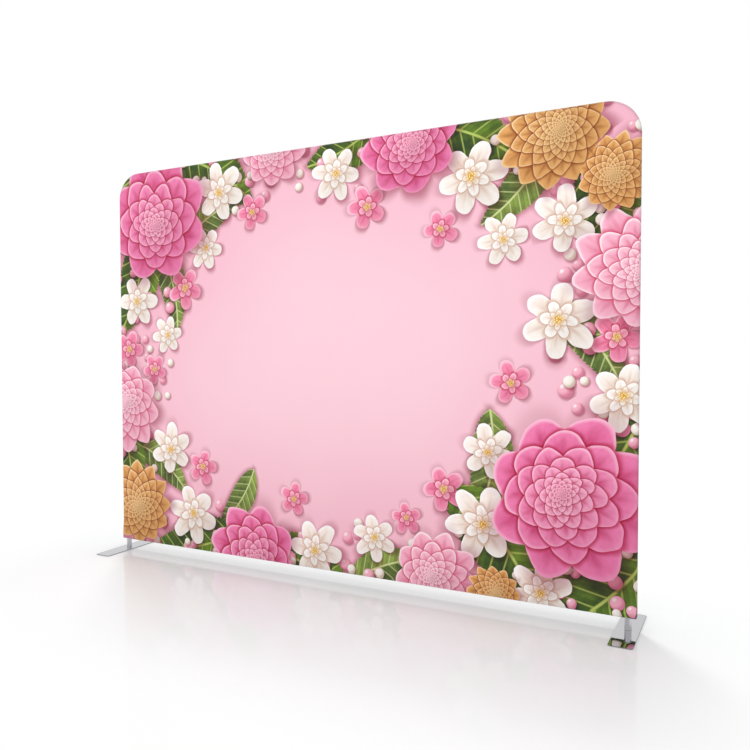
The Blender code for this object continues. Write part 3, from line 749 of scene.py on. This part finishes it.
# %% Bloom
light_turn = 2.3
wave_scale, lean_turns = 1.7, 3.0
petal_ripples, ripple_stretch = 5.0, 0.7
deep_from, deep_to, deep_strength = 0.25, 1.5, 0.55
ripple_from, ripple_to, ripple_strength = 0.35, 0.75, 0.30
rim_from, rim_to, rim_strength, unlit_rim_share = 0.02, 0.30, 0.75, 0.25
crease_width, crease_strength = 0.22, 0.28
under_width, under_strength = 0.42, 0.85
shade_low, shade_high = 0.90, 1.06
bloom_shadow_width, bloom_shadow_strength, lit_shadow_share = 0.30, 0.75, 0.35


def bloom(add, spot, far, petals, shrink, point_power, rings, colours, cut=0.92, wobble=0.16, tilt=0.16,
          heart_size=None, heart_colours=None):
    """Colour, cover and shadow of a flower. colours are its outer, inner, deep and rim colour."""
    turn = add("SeparateXYZ", spot).node.outputs["Z"]
    noise = add("TexNoise", spot, wave_scale, 2.0, 0.5, out=1)
    noise = add("VectorMath.MULTIPLY_ADD", noise, (wobble, wobble, 0.0), (-wobble / 2, -wobble / 2, 0.0))
    leaning = add("MULTIPLY", turn, lean_turns)
    lean = add("CombineXYZ", add("COSINE", leaning), add("SINE", leaning))
    lean = add("VectorMath.SCALE", lean, add("MapRange", far, 0.0, 1.0, tilt, 0.0))
    moved = add("VectorMath.ADD", add("VectorMath.ADD", spot, noise), lean)
    moved = add("VectorMath.MULTIPLY", moved, (1.0, 1.0, 0.0))
    place = add("SeparateXYZ", moved).node.outputs
    radius = add("VectorMath.LENGTH", moved)
    angle = add("ARCTAN2", place["Y"], place["X"])
    petal = add("MULTIPLY", add("ADD", angle, turn), petals / (2 * math.pi))
    side = add("MULTIPLY", add("PINGPONG", petal, 0.5), 2.0)
    other_side = add("SUBTRACT", 1.0, side)
    depth = add("LOGARITHM", radius, shrink)
    ring, share = add("FLOOR", depth), add("FRACT", depth)
    odd = add("MODULO", ring, 2.0)
    even_edge, odd_edge = (add("MULTIPLY", add("POWER", way, point_power), cut) for way in (side, other_side))
    edge, next_edge = add("Mix", odd, even_edge, odd_edge), add("Mix", odd, odd_edge, even_edge)
    on_top = add("GREATER_THAN", share, edge)
    inside = add("Mix", on_top, add("SUBTRACT", add("ADD", share, 1.0), next_edge),
                 add("SUBTRACT", share, edge))
    beneath = add("Mix", on_top, add("SUBTRACT", edge, share),
                  add("SUBTRACT", add("ADD", next_edge, 1.0), share))
    ring = add("ADD", add("SUBTRACT", ring, 1.0), on_top)
    across = add("Mix", odd, side, other_side)
    across = add("Mix", on_top, add("SUBTRACT", 1.0, across), across)

    outer, inner, deep, rim = colours
    ripple = add("CombineXYZ", add("MULTIPLY", petal, petal_ripples), add("MULTIPLY", depth, ripple_stretch),
                 add("ADD", ring, turn))
    ripple = add("TexNoise", ripple, 1.0, 3.0, 0.6)
    colour = add("Mix.RGBA", add(soft_step, ring, 0.0, rings), outer, inner)
    soft = add("ADD", add(soft_step, inside, deep_from, deep_to, 0.0, deep_strength),
               add(soft_step, ripple, ripple_from, ripple_to, 0.0, ripple_strength))
    colour = add("Mix.RGBA", soft, colour, deep)
    lit = add("COSINE", add("SUBTRACT", angle, light_turn))
    lip = add("MULTIPLY", add(soft_step, inside, rim_from, rim_to, rim_strength, 0.0),
              add(soft_step, lit, -1.2, 1.0, unlit_rim_share, 1.0))
    colour = add("Mix.RGBA", lip, colour, rim)
    crease = add("MULTIPLY", add(soft_step, across, 0.0, crease_width, crease_strength, 0.0),
                 add(soft_step, inside, 0.1, 0.8))
    under = add("ADD", add(soft_step, beneath, 0.0, under_width, under_strength, 0.0), crease)
    colour = add("Mix.RGBA", under, colour, deep, blend_type="MULTIPLY")
    colour = add("VectorMath.SCALE", colour, add(soft_step, lit, -1.0, 1.0, shade_low, shade_high))
    shadow_width = bloom_shadow_width / abs(math.log(shrink))
    gap = add("SUBTRACT", even_edge, depth)
    shadow = add("MULTIPLY", add(soft_step, gap, 0.0, shadow_width, bloom_shadow_strength, 0.0),
                 add(soft_step, lit, -1.0, 1.0, 1.0, lit_shadow_share))
    if heart_size:
        colour = heart(add, moved, radius, heart_size, heart_colours, colour)
    return colour, add("GREATER_THAN", depth, even_edge), shadow


# %% The heart of a simple blossom
stamen_density = 2.42
halo_reach, halo_strength = 2.1, 0.45
heart_softness, heart_raggedness = 0.1, 0.10


def heart(add, moved, radius, size, colours, below):
    """The tuft of stamens in the middle of a simple blossom."""
    dark, light = colours
    dots = add("TexVoronoi", moved, stamen_density / size, voronoi_dimensions="2D")
    colour = add("Mix.RGBA", add(soft_step, dots, 0.15, 0.5, 1.0, 0.0), dark, light)
    ragged = add("ADD", radius, add("MULTIPLY", dots, heart_raggedness))
    full, gone = size * (1 - heart_softness), size * (1 + heart_softness)
    below = add("Mix.RGBA", add(soft_step, ragged, gone, size * halo_reach, halo_strength, 0.0), below, dark)
    return add("Mix.RGBA", add(soft_step, ragged, full, gone, 1.0, 0.0), below, colour)


# %% [markdown]
# ## A leaf and a pearl
# A leaf's outline is a curve of its length, with fine teeth on it. Veins run from the middle rib at an angle,
# and the half turned to the light is paler. A pearl is a sphere's shading on a disc: its height gives the
# direction that the surface faces, and so the light on it.

# %% Leaf
leaf_teeth, tooth_depth = 13.0, 0.035
leaf_bow, bow_middle = 0.16, 0.3
tip_power, leaf_taper = 0.78, 0.25
veins, vein_slant, vein_width, vein_strength = 4.5, 3.2, 0.11, 0.75
midrib_from, midrib_to = 0.006, 0.030
patch_strength, lit_half_strength, rib_width = 0.6, 0.35, 0.02
quilt_low, quilt_high = 0.86, 1.12
leaf_shadow_width, leaf_shadow_strength = 0.16, 0.6


def leaf(add, spot, slim, colours):
    """Colour, cover and shadow of a leaf. colours are the dark, the pale and the veins' colour."""
    dark, pale, vein = colours
    turn = add("SeparateXYZ", spot).node.outputs["Z"]
    turned = add("VectorRotate", spot, (0.0, 0.0, 0.0), turn, rotation_type="Z_AXIS")
    part = add("SeparateXYZ", turned).node.outputs
    along = part["X"]
    square = add("MULTIPLY", along, along)
    side = add("ADD", part["Y"], add("MULTIPLY", add("SUBTRACT", square, bow_middle), leaf_bow))
    across = add("ABSOLUTE", side)
    round_end = add("POWER", add("MAXIMUM", add("SUBTRACT", 1.0, square), 0.0), tip_power)
    taper = add("MapRange", along, -1.0, 1.0, slim * (1 + leaf_taper), slim * (1 - leaf_taper))
    half = add("MULTIPLY", round_end, taper)
    tooth = add("MULTIPLY", add("FRACT", add("MULTIPLY", along, -leaf_teeth)), tooth_depth)
    edge = add("SUBTRACT", across, half)
    cover = add("MULTIPLY", add("LESS_THAN", edge, tooth), add("LESS_THAN", square, 1.0))
    ribs = add("FRACT", add("SUBTRACT", add("MULTIPLY", along, veins), add("MULTIPLY", across, vein_slant)))
    rib = add(soft_step, add("ABSOLUTE", add("SUBTRACT", ribs, 0.5)), 0.0, vein_width, vein_strength, 0.0)
    middle = add(soft_step, across, midrib_from, midrib_to, 1.0, 0.0)
    patch = add(soft_step, add("TexNoise", spot, 3.0, 4.0, 0.62), 0.3, 0.75, 0.0, patch_strength)
    lit_half = add(soft_step, side, -rib_width, rib_width, 0.0, lit_half_strength)
    colour = add("Mix.RGBA", add("ADD", patch, lit_half), dark, pale)
    colour = add("VectorMath.SCALE", colour, add(soft_step, ribs, 0.0, 1.0, quilt_low, quilt_high))
    colour = add("Mix.RGBA", add("MAXIMUM", rib, middle), colour, vein)
    shadow = add("MULTIPLY", add(soft_step, edge, 0.0, leaf_shadow_width, leaf_shadow_strength, 0.0),
                 add(soft_step, square, 1.0, 1.3, 1.0, 0.0))
    return colour, cover, shadow


# %% Pearl
pearl_light = (-0.42, 0.47, 0.776)
shadow_place, shadow_from, shadow_to, pearl_shadow_strength = (0.22, -0.28, 0.0), 0.85, 1.45, 0.7
shine_from, shine_to, shine_strength = 0.90, 0.995, 0.85


def pearl(add, spot, far, colours):
    """Colour, cover and shadow of a pearl. colours are the shaded, the lit and the highlight's colour."""
    dark, base, shine = colours
    part = add("SeparateXYZ", spot).node.outputs
    height = add("SQRT", add("MAXIMUM", add("SUBTRACT", 1.0, add("MULTIPLY", far, far)), 0.0))
    face = add("CombineXYZ", part["X"], part["Y"], height)
    lit = add("VectorMath.DOT_PRODUCT", face, pearl_light)
    colour = add("Mix.RGBA", add(soft_step, lit, 0.0, 0.85), dark, base)
    colour = add("Mix.RGBA", add(soft_step, lit, shine_from, shine_to, 0.0, shine_strength), colour, shine)
    below = add("VectorMath.DISTANCE", add("VectorMath.MULTIPLY", spot, (1.0, 1.0, 0.0)), shadow_place)
    shadow = add(soft_step, below, shadow_from, shadow_to, pearl_shadow_strength, 0.0)
    return colour, add("LESS_THAN", far, 1.0), shadow


# %% [markdown]
# ## The layout
# The picture keeps a clear field in the middle, where people stand, and lets the flowers run off the edges.
# Places were chosen on the cloth: across from the middle, up from the middle, radius, and turn.

# %% Places
camellia_places = [
    (-1.19, 0.83, 0.37, 0.4), (1.22, -0.62, 0.38, 1.9), (0.42, 1.06, 0.26, 2.9), (-0.52, -1.08, 0.29, 5.0)]
pale_camellia_places = [
    (1.47, 0.40, 0.26, 0.8), (-1.46, -0.30, 0.27, 3.6), (0.58, -1.04, 0.22, 2.2), (-0.36, 1.12, 0.20, 4.4)]
apricot_places = [
    (1.12, 1.00, 0.25, 1.1), (1.40, 0.80, 0.17, 0.2), (-1.36, -0.86, 0.25, 2.6), (0.86, -1.08, 0.13, 5.2)]
cream_places = [
    (-0.72, 0.93, 0.165, 0.3), (-0.83, 0.62, 0.12, 1.2), (-1.34, 0.34, 0.15, 2.1), (-1.12, 0.14, 0.11, 0.9),
    (0.02, 0.94, 0.14, 3.3), (0.76, 0.84, 0.17, 4.0), (0.90, 0.55, 0.12, 5.1), (1.18, 0.62, 0.15, 0.6),
    (1.16, 0.17, 0.17, 1.7), (0.84, -0.42, 0.13, 2.4), (0.80, -0.76, 0.18, 3.0), (1.44, -0.16, 0.15, 3.9),
    (-1.10, -0.52, 0.15, 4.8), (-0.94, -0.90, 0.17, 5.5), (-0.10, -1.00, 0.16, 0.1), (0.24, -0.90, 0.12, 1.4),
    (1.08, -1.04, 0.15, 2.8)]
rose_blossom_places = [
    (-0.50, 0.80, 0.10, 0.5), (-0.98, 0.40, 0.12, 1.5), (-1.42, 0.06, 0.11, 2.6), (0.20, 0.76, 0.11, 3.1),
    (0.60, 0.62, 0.09, 4.3), (1.40, 0.10, 0.11, 5.2), (0.94, -0.10, 0.10, 0.7), (0.62, -0.62, 0.11, 1.8),
    (-1.22, -0.06, 0.09, 2.9), (-0.86, -0.62, 0.10, 3.7), (-0.24, -0.74, 0.09, 4.9), (0.42, -0.78, 0.08, 5.8)]
leaf_places = [
    (-1.36, 0.44, 0.33, 1.9), (-0.78, 1.04, 0.34, 0.5), (-1.42, 1.06, 0.30, 2.7), (0.72, 1.04, 0.30, 0.4),
    (0.10, 1.08, 0.26, 2.7), (1.38, 0.62, 0.30, 1.3), (1.46, -0.30, 0.34, 2.0), (0.90, -0.86, 0.36, 0.9),
    (1.34, -1.04, 0.34, 2.4), (-0.90, -1.06, 0.32, 2.9), (-0.16, -1.10, 0.32, 0.3), (-1.44, -0.62, 0.28, 1.4)]
second_leaf_places = [
    (-0.80, 0.78, 0.24, -0.5), (-1.08, 0.42, 0.26, 1.3), (0.98, 0.78, 0.24, 2.3), (1.30, 0.08, 0.25, 0.9),
    (0.84, -0.50, 0.27, 1.7), (0.30, -1.04, 0.24, -0.4), (-1.16, -0.62, 0.24, 0.6), (-0.60, -0.78, 0.20, 2.2),
    (1.30, -1.02, 0.30, 0.2), (1.46, -0.90, 0.28, 1.3)]

# %% Strewn pearls
strew_looseness, smallest_share = 0.75, 0.65
strewn_from, strewn_luck = 0.98, 0.30


def strewn(add, point, cell, radius, offset):
    """Small motifs strewn round the border: the spot, how far it is, and 1 where the motif is kept."""
    shifted = add("VectorMath.ADD", point, offset)
    loose = {"Randomness": strew_looseness}
    cells = add("TexVoronoi", shifted, 1 / cell, voronoi_dimensions="2D", named=loose).node.outputs
    chance = add("SeparateXYZ", cells["Color"]).node.outputs
    size = add("MapRange", chance["X"], 0.0, 1.0, radius * smallest_share, radius)
    away = add("VectorMath.SUBTRACT", shifted, cells["Position"])
    spot = add("VectorMath.SCALE", away, add("DIVIDE", 1.0, size))
    centre = add("SeparateXYZ", add("VectorMath.SUBTRACT", cells["Position"], offset)).node.outputs
    rim = add("MAXIMUM", add("DIVIDE", add("ABSOLUTE", centre["X"]), panel_width / 2),
              add("DIVIDE", add("ABSOLUTE", centre["Y"]), panel_height / 2))
    kept = add("GREATER_THAN", add("MULTIPLY_ADD", chance["Z"], strewn_luck, rim), strewn_from)
    return spot, add("VectorMath.LENGTH", spot), kept


# %% The picture
ground_middle, ground_edge = "F9CFD9", "F4B7C8"
ground_reach = (0.62, 0.86, 0.0)
ground_cloud_scale, ground_cloud = 0.9, 0.12
ground_from, ground_to = 0.15, 1.15
shadow_tint = "A9566E"
leaves = [(second_leaf_places, 0.36, ("4A5E2E", "94AA4E", "D3DC96")),
          (leaf_places, 0.44, ("2F4420", "6F8F2A", "B9CC66"))]
pearls = [(0.12, 0.034, (3.1, 1.7, 0.0), ("D77C97", "F8B6C6", "FFF4F6")),
          (0.15, 0.028, (7.3, 4.9, 0.0), ("CDB8A6", "FBF2E8", "FFFFFF"))]
blooms = [
    (rose_blossom_places, dict(
        petals=5, shrink=0.46, point_power=2.6, rings=2.0, wobble=0.14, tilt=0.06, heart_size=0.17,
        colours=("F590B0", "FBC0D0", "CF4C77", "FFD9E4"), heart_colours=("C98A2C", "FBE59A"))),
    (cream_places, dict(
        petals=6, shrink=0.50, point_power=2.3, rings=2.0, cut=0.90, tilt=0.08, heart_size=0.16,
        colours=("FBF3EA", "FFFDF8", "D9B9A4", "FFFFFF"), heart_colours=("D79A35", "FCEBA6"))),
    (pale_camellia_places, dict(
        petals=9, shrink=0.77, point_power=1.7, rings=7.0,
        colours=("F7B6C9", "FBD9E2", "DE7597", "FFF0F3"))),
    (apricot_places, dict(
        petals=12, shrink=0.80, point_power=1.25, rings=8.0,
        colours=("E3A763", "F3CC8E", "A9642B", "F8DDAC"))),
    (camellia_places, dict(
        petals=8, shrink=0.78, point_power=1.9, rings=7.0,
        colours=("EE7FAE", "F9B9D0", "C9356F", "FBC9DC")))]


def picture(add, place, across, up):
    point = add("CombineXYZ", across, up)
    reach = add("VectorMath.LENGTH", add("VectorMath.MULTIPLY", point, ground_reach))
    cloud = add("TexNoise", point, ground_cloud_scale, 2.0, 0.5)
    cloud = add("MapRange", cloud, noise_low, noise_high, -ground_cloud, ground_cloud)
    tone = add(soft_step, add("ADD", reach, cloud), ground_from, ground_to)
    colour = add("Mix.RGBA", tone, ground_middle, ground_edge)

    def lay(below, motif, kept=1.0):
        """The picture with a motif and its shadow laid over it."""
        face, cover, shadow = motif
        shadow = add("MULTIPLY", shadow, kept)
        below = add("Mix.RGBA", shadow, below, shadow_tint, blend_type="MULTIPLY")
        return add("Mix.RGBA", add("MULTIPLY", cover, kept), below, face)

    for places, slim, greens in leaves:
        colour = lay(colour, leaf(add, nearest_place(add, point, places)[0], slim, greens))
    for cell, radius, offset, tints in pearls:
        spot, far, kept = strewn(add, point, cell, radius, offset)
        colour = lay(colour, pearl(add, spot, far, tints), kept)
    for places, looks in blooms:
        colour = lay(colour, bloom(add, *nearest_place(add, point, places), **looks))
    return colour


finish_cloth("printed_stretch_knit", picture)
finish_cloth("plain_stretch_knit", plain_white)
finish_cloth("hem_knit", plain_white, unrolled=False)

# %% [markdown]
# ## Thread, tape and coil
# The seam and the topstitches are spun polyester thread: two plies twisted, so a stitch shows slanting
# lines and no gloss. The zip's tape is woven, one thread over and one under. Its coil is a single thick
# filament of nylon, drawn smooth, a little clear and a little shiny.

# %% Thread
ply_pitch = 0.0006
thread_bump = 0.0001


def make_thread():
    made, add, finish = new_material("polyester_thread")
    place = add("TexCoord", out=3)
    part = add("SeparateXYZ", place).node.outputs
    slant = add("ADD", part["X"], part["Y"], part["Z"])
    ply = add("SINE", add("MULTIPLY", slant, 2 * math.pi / ply_pitch))
    fluff = add("TexNoise", place, 1500.0, 2.0, 0.6)
    # Painted shade: the thread's colour is darker in the grooves between its plies, and varies at random with
    # the fluff.
    tone = add("MULTIPLY", add("MapRange", ply, -1.0, 1.0, 0.4, 1.0), fluff)
    colour = add("Mix.RGBA", tone, "E4E2DE", "FCFCFA")
    bump = add("Bump", named={"Strength": 0.5, "Distance": thread_bump, "Height": ply})
    finish(add("BsdfPrincipled", named={
        "Base Color": colour, "Roughness": 0.7, "Sheen Weight": 0.15, "Normal": bump}))
    print(made.name, "ply pitch mm", ply_pitch * 1000)


make_thread()

# %% Woven tape
tape_thread = 0.0005


def make_tape():
    made, add, finish = new_material("woven_zip_tape")
    part = add("SeparateXYZ", add("TexCoord", out=3)).node.outputs
    runs = [add("DIVIDE", part[axis], tape_thread) for axis in "XZ"]
    over = add("ABSOLUTE", add("MODULO", add("ADD", *(add("FLOOR", run) for run in runs)), 2.0))
    hills = [add("ABSOLUTE", add("SINE", add("MULTIPLY", run, math.pi))) for run in runs]
    height = add("Mix", over, *hills)
    # Painted shade: the tape's colour is darker where its threads dip between one another.
    colour = add("Mix.RGBA", height, "D9D7D3", "F6F5F2")
    bump = add("Bump", named={"Strength": 0.6, "Distance": thread_bump, "Height": height})
    finish(add("BsdfPrincipled", named={"Base Color": colour, "Roughness": 0.75, "Normal": bump}))
    print(made.name, "thread mm", tape_thread * 1000)


make_tape()

# %% Nylon coil
nylon_refraction = 1.53
coil_clearness, coil_glow = 0.2, 0.0006


def make_coil():
    made, add, finish = new_material("nylon_zip_coil")
    cloud = add("TexNoise", add("TexCoord", out=3), 400.0, 2.0, 0.5)
    colour = add("Mix.RGBA", cloud, "ECEBE6", "FBFBF9")
    finish(add("BsdfPrincipled", named={
        "Base Color": colour, "Roughness": add("MapRange", cloud, noise_low, noise_high, 0.26, 0.38),
        "IOR": nylon_refraction, "Subsurface Weight": coil_clearness,
        "Subsurface Radius": (coil_glow, coil_glow, coil_glow)}))
    print(made.name)


make_coil()

# %% [markdown]
# ## Metals
# What tells one bare metal from another is its colour and the marks of how it was worked. Drawing and
# extruding leave fine lines along a tube, polishing leaves soft lines round it, plating fills them up. So one
# function makes a metal from its colour and a pattern of marks, which shift its colour, roughness and height
# a little. The real lines are a few hundredths of a millimetre apart. They are drawn about ten times as
# coarse, or they would not show.

# %% A metal from its marks
def marks(add, place, sizes):
    """Noise drawn out to so many metres along X, Y and Z."""
    return add("TexNoise", add("VectorMath.DIVIDE", place, sizes), 1.0, 3.0, 0.6)


def metal(name, colour, shade, smooth, rough, depth, marks_of):
    """A metal, smoother and paler on its marks' heights. marks_of is their sizes, or a function for them."""
    made, add, finish = new_material(name)
    place = add("TexCoord", out=3)
    height = marks_of(add, place) if callable(marks_of) else marks(add, place, marks_of)
    tone = add("Mix.RGBA", height, shade, colour)
    roughness = add("MapRange", height, noise_low, noise_high, rough, smooth)
    bump = add("Bump", named={"Strength": 1.0, "Distance": depth, "Height": height})
    finish(add("BsdfPrincipled", named={
        "Base Color": tone, "Metallic": 1.0, "Roughness": roughness, "Normal": bump}))
    print(made.name)
    return made


# %% Stainless steel of the feet
# A buffing wheel was run along the plate and left long, faint and wide lines.
wheel_lines = (0.006, 0.25, 0.004)
# Shear blades drag short lines down the sides of the plate.
shear_lines = (0.0006, 0.0006, 0.004)
# A polishing belt's lines run round the tube, so they only change with height.
belt_lines = (0.02, 0.02, 0.0008)

metal("mirror_polished_stainless", "C0C0C3", "BABABE", 0.020, 0.045, 0.000002, wheel_lines)
# Painted shade: the sheared sides are painted darker than bare steel, as the shade along the plate's edge;
# their dullness is real.
metal("sheared_stainless_and_painted_shade", "98989B", "6C6C70", 0.42, 0.55, 0.00002, shear_lines)
post_metal = metal("belt_polished_stainless", "D2D2D5", "C2C2C6", 0.20, 0.32, 0.000006, belt_lines)

# %% Weld bead
weld_ripples, weld_grain = 34, 700.0


def ripples_round_post(add, place):
    """The ripples that the weld pool left as it went round the post."""
    part = add("SeparateXYZ", place).node.outputs
    from_post = add("SUBTRACT", add("ABSOLUTE", part["X"]), foot_places["right"].x)
    turn = add("ARCTAN2", part["Y"], from_post)
    ripple = add("SINE", add("MULTIPLY", turn, weld_ripples))
    grain = add("TexNoise", place, weld_grain, 2.0, 0.6)
    return add("MULTIPLY", add("MapRange", ripple, -1.0, 1.0, 0.3, 1.0), grain)


metal("brushed_weld", "B9B8B6", "9A9895", 0.42, 0.55, 0.00004, ripples_round_post)

# %% Aluminium of the frame
line_width, line_length = 0.0005, 0.08
upright_lines, rail_lines = (line_width, line_width, line_length), (line_length, line_width, line_width)


def lines_round_frame(add, place):
    """Lines along the tube: they depend on how far a point lies off the frame's path, round its bends too."""
    part = add("SeparateXYZ", place).node.outputs
    out_x = add("SUBTRACT", add("ABSOLUTE", part["X"]), panel_width / 2 - corner_radius)
    out_z = add("SUBTRACT", part["Z"], cover_high[2] - corner_radius)
    off = add("VectorMath.MAXIMUM", add("CombineXYZ", out_x, 0.0, out_z), (0.0, 0.0, 0.0))
    unbent = add("CombineXYZ", add("VectorMath.LENGTH", off), part["Y"], add("ADD", part["X"], part["Z"]))
    return marks(add, unbent, upright_lines)


drawn = ("E1E2E5", "D2D3D6", 0.30, 0.42, 0.00001)
tube_metal = metal("drawn_aluminium", *drawn, lines_round_frame)
pole_metal = metal("drawn_aluminium_pole", *drawn, upright_lines)
rail_metal = metal("extruded_aluminium", "DDDEE1", "CDCED1", 0.36, 0.48, 0.00001, rail_lines)

# %% Plated parts
# A die casting's skin shows through its plating as a faint orange peel, and a drawn strip's as a satin grain.
orange_peel, satin_grain = (0.0009, 0.0009, 0.0009), (0.0004, 0.0004, 0.0004)
slider_metal = metal("nickel_plated_zinc", "D6D5D3", "BDBCBB", 0.16, 0.30, 0.00002, orange_peel)
spring_metal = metal("nickel_plated_spring_steel", "D0D0CF", "BEBEBE", 0.22, 0.32, 0.000005, satin_grain)

# %% [markdown]
# ## Nylon and rubber
# The corner blocks and saddles are moulded in black nylon filled with glass fibre. The mould was spark
# eroded, which gives a fine even grain that breaks up the shine. The pads under the feet are sheet rubber,
# cut, dusty and without gloss.

# %% Moulded nylon and cut rubber
dust_scale, pit_strength = 40.0, 0.8
rubber_refraction = 1.52


def moulded(name, dark, pale, smooth, rough, grain, depth, refraction):
    made, add, finish = new_material(name)
    place = add("TexCoord", out=3)
    pits = marks(add, place, (grain, grain, grain))
    dust = add("TexNoise", place, dust_scale, 3.0, 0.6)
    colour = add("Mix.RGBA", add("MULTIPLY", pits, dust), dark, pale)
    roughness = add("MapRange", pits, noise_low, noise_high, smooth, rough)
    bump = add("Bump", named={"Strength": pit_strength, "Distance": depth, "Height": pits})
    finish(add("BsdfPrincipled", named={
        "Base Color": colour, "Roughness": roughness, "IOR": refraction, "Normal": bump}))
    print(made.name)
    return made


block_nylon = moulded(
    "spark_eroded_black_nylon", "333335", "4A4A4D", 0.42, 0.58, 0.0004, 0.00004, nylon_refraction)
pad_rubber = moulded("cut_black_rubber", "1B1B1B", "3A3938", 0.80, 0.95, 0.0008, 0.00010, rubber_refraction)

# %% Finishes on the solids that stay
by_slot = {"frame_tube": tube_metal, "frame_rail": rail_metal, "moulded_nylon": block_nylon,
           "post_steel": post_metal, "pad_rubber": pad_rubber, "spring_steel": spring_metal,
           "zip_metal": slider_metal}
by_node = {"centre_pole_lower": pole_metal, "centre_pole_upper": pole_metal}
finished = [part for part in frame["record"]["subparts"] if part["material_slot"] in by_slot]
for part in finished:
    for place in frame["nodes"][part["node"]].material_slots:
        place.material = by_node.get(part["node"], by_slot[part["material_slot"]])
print("finished solids", len(finished))
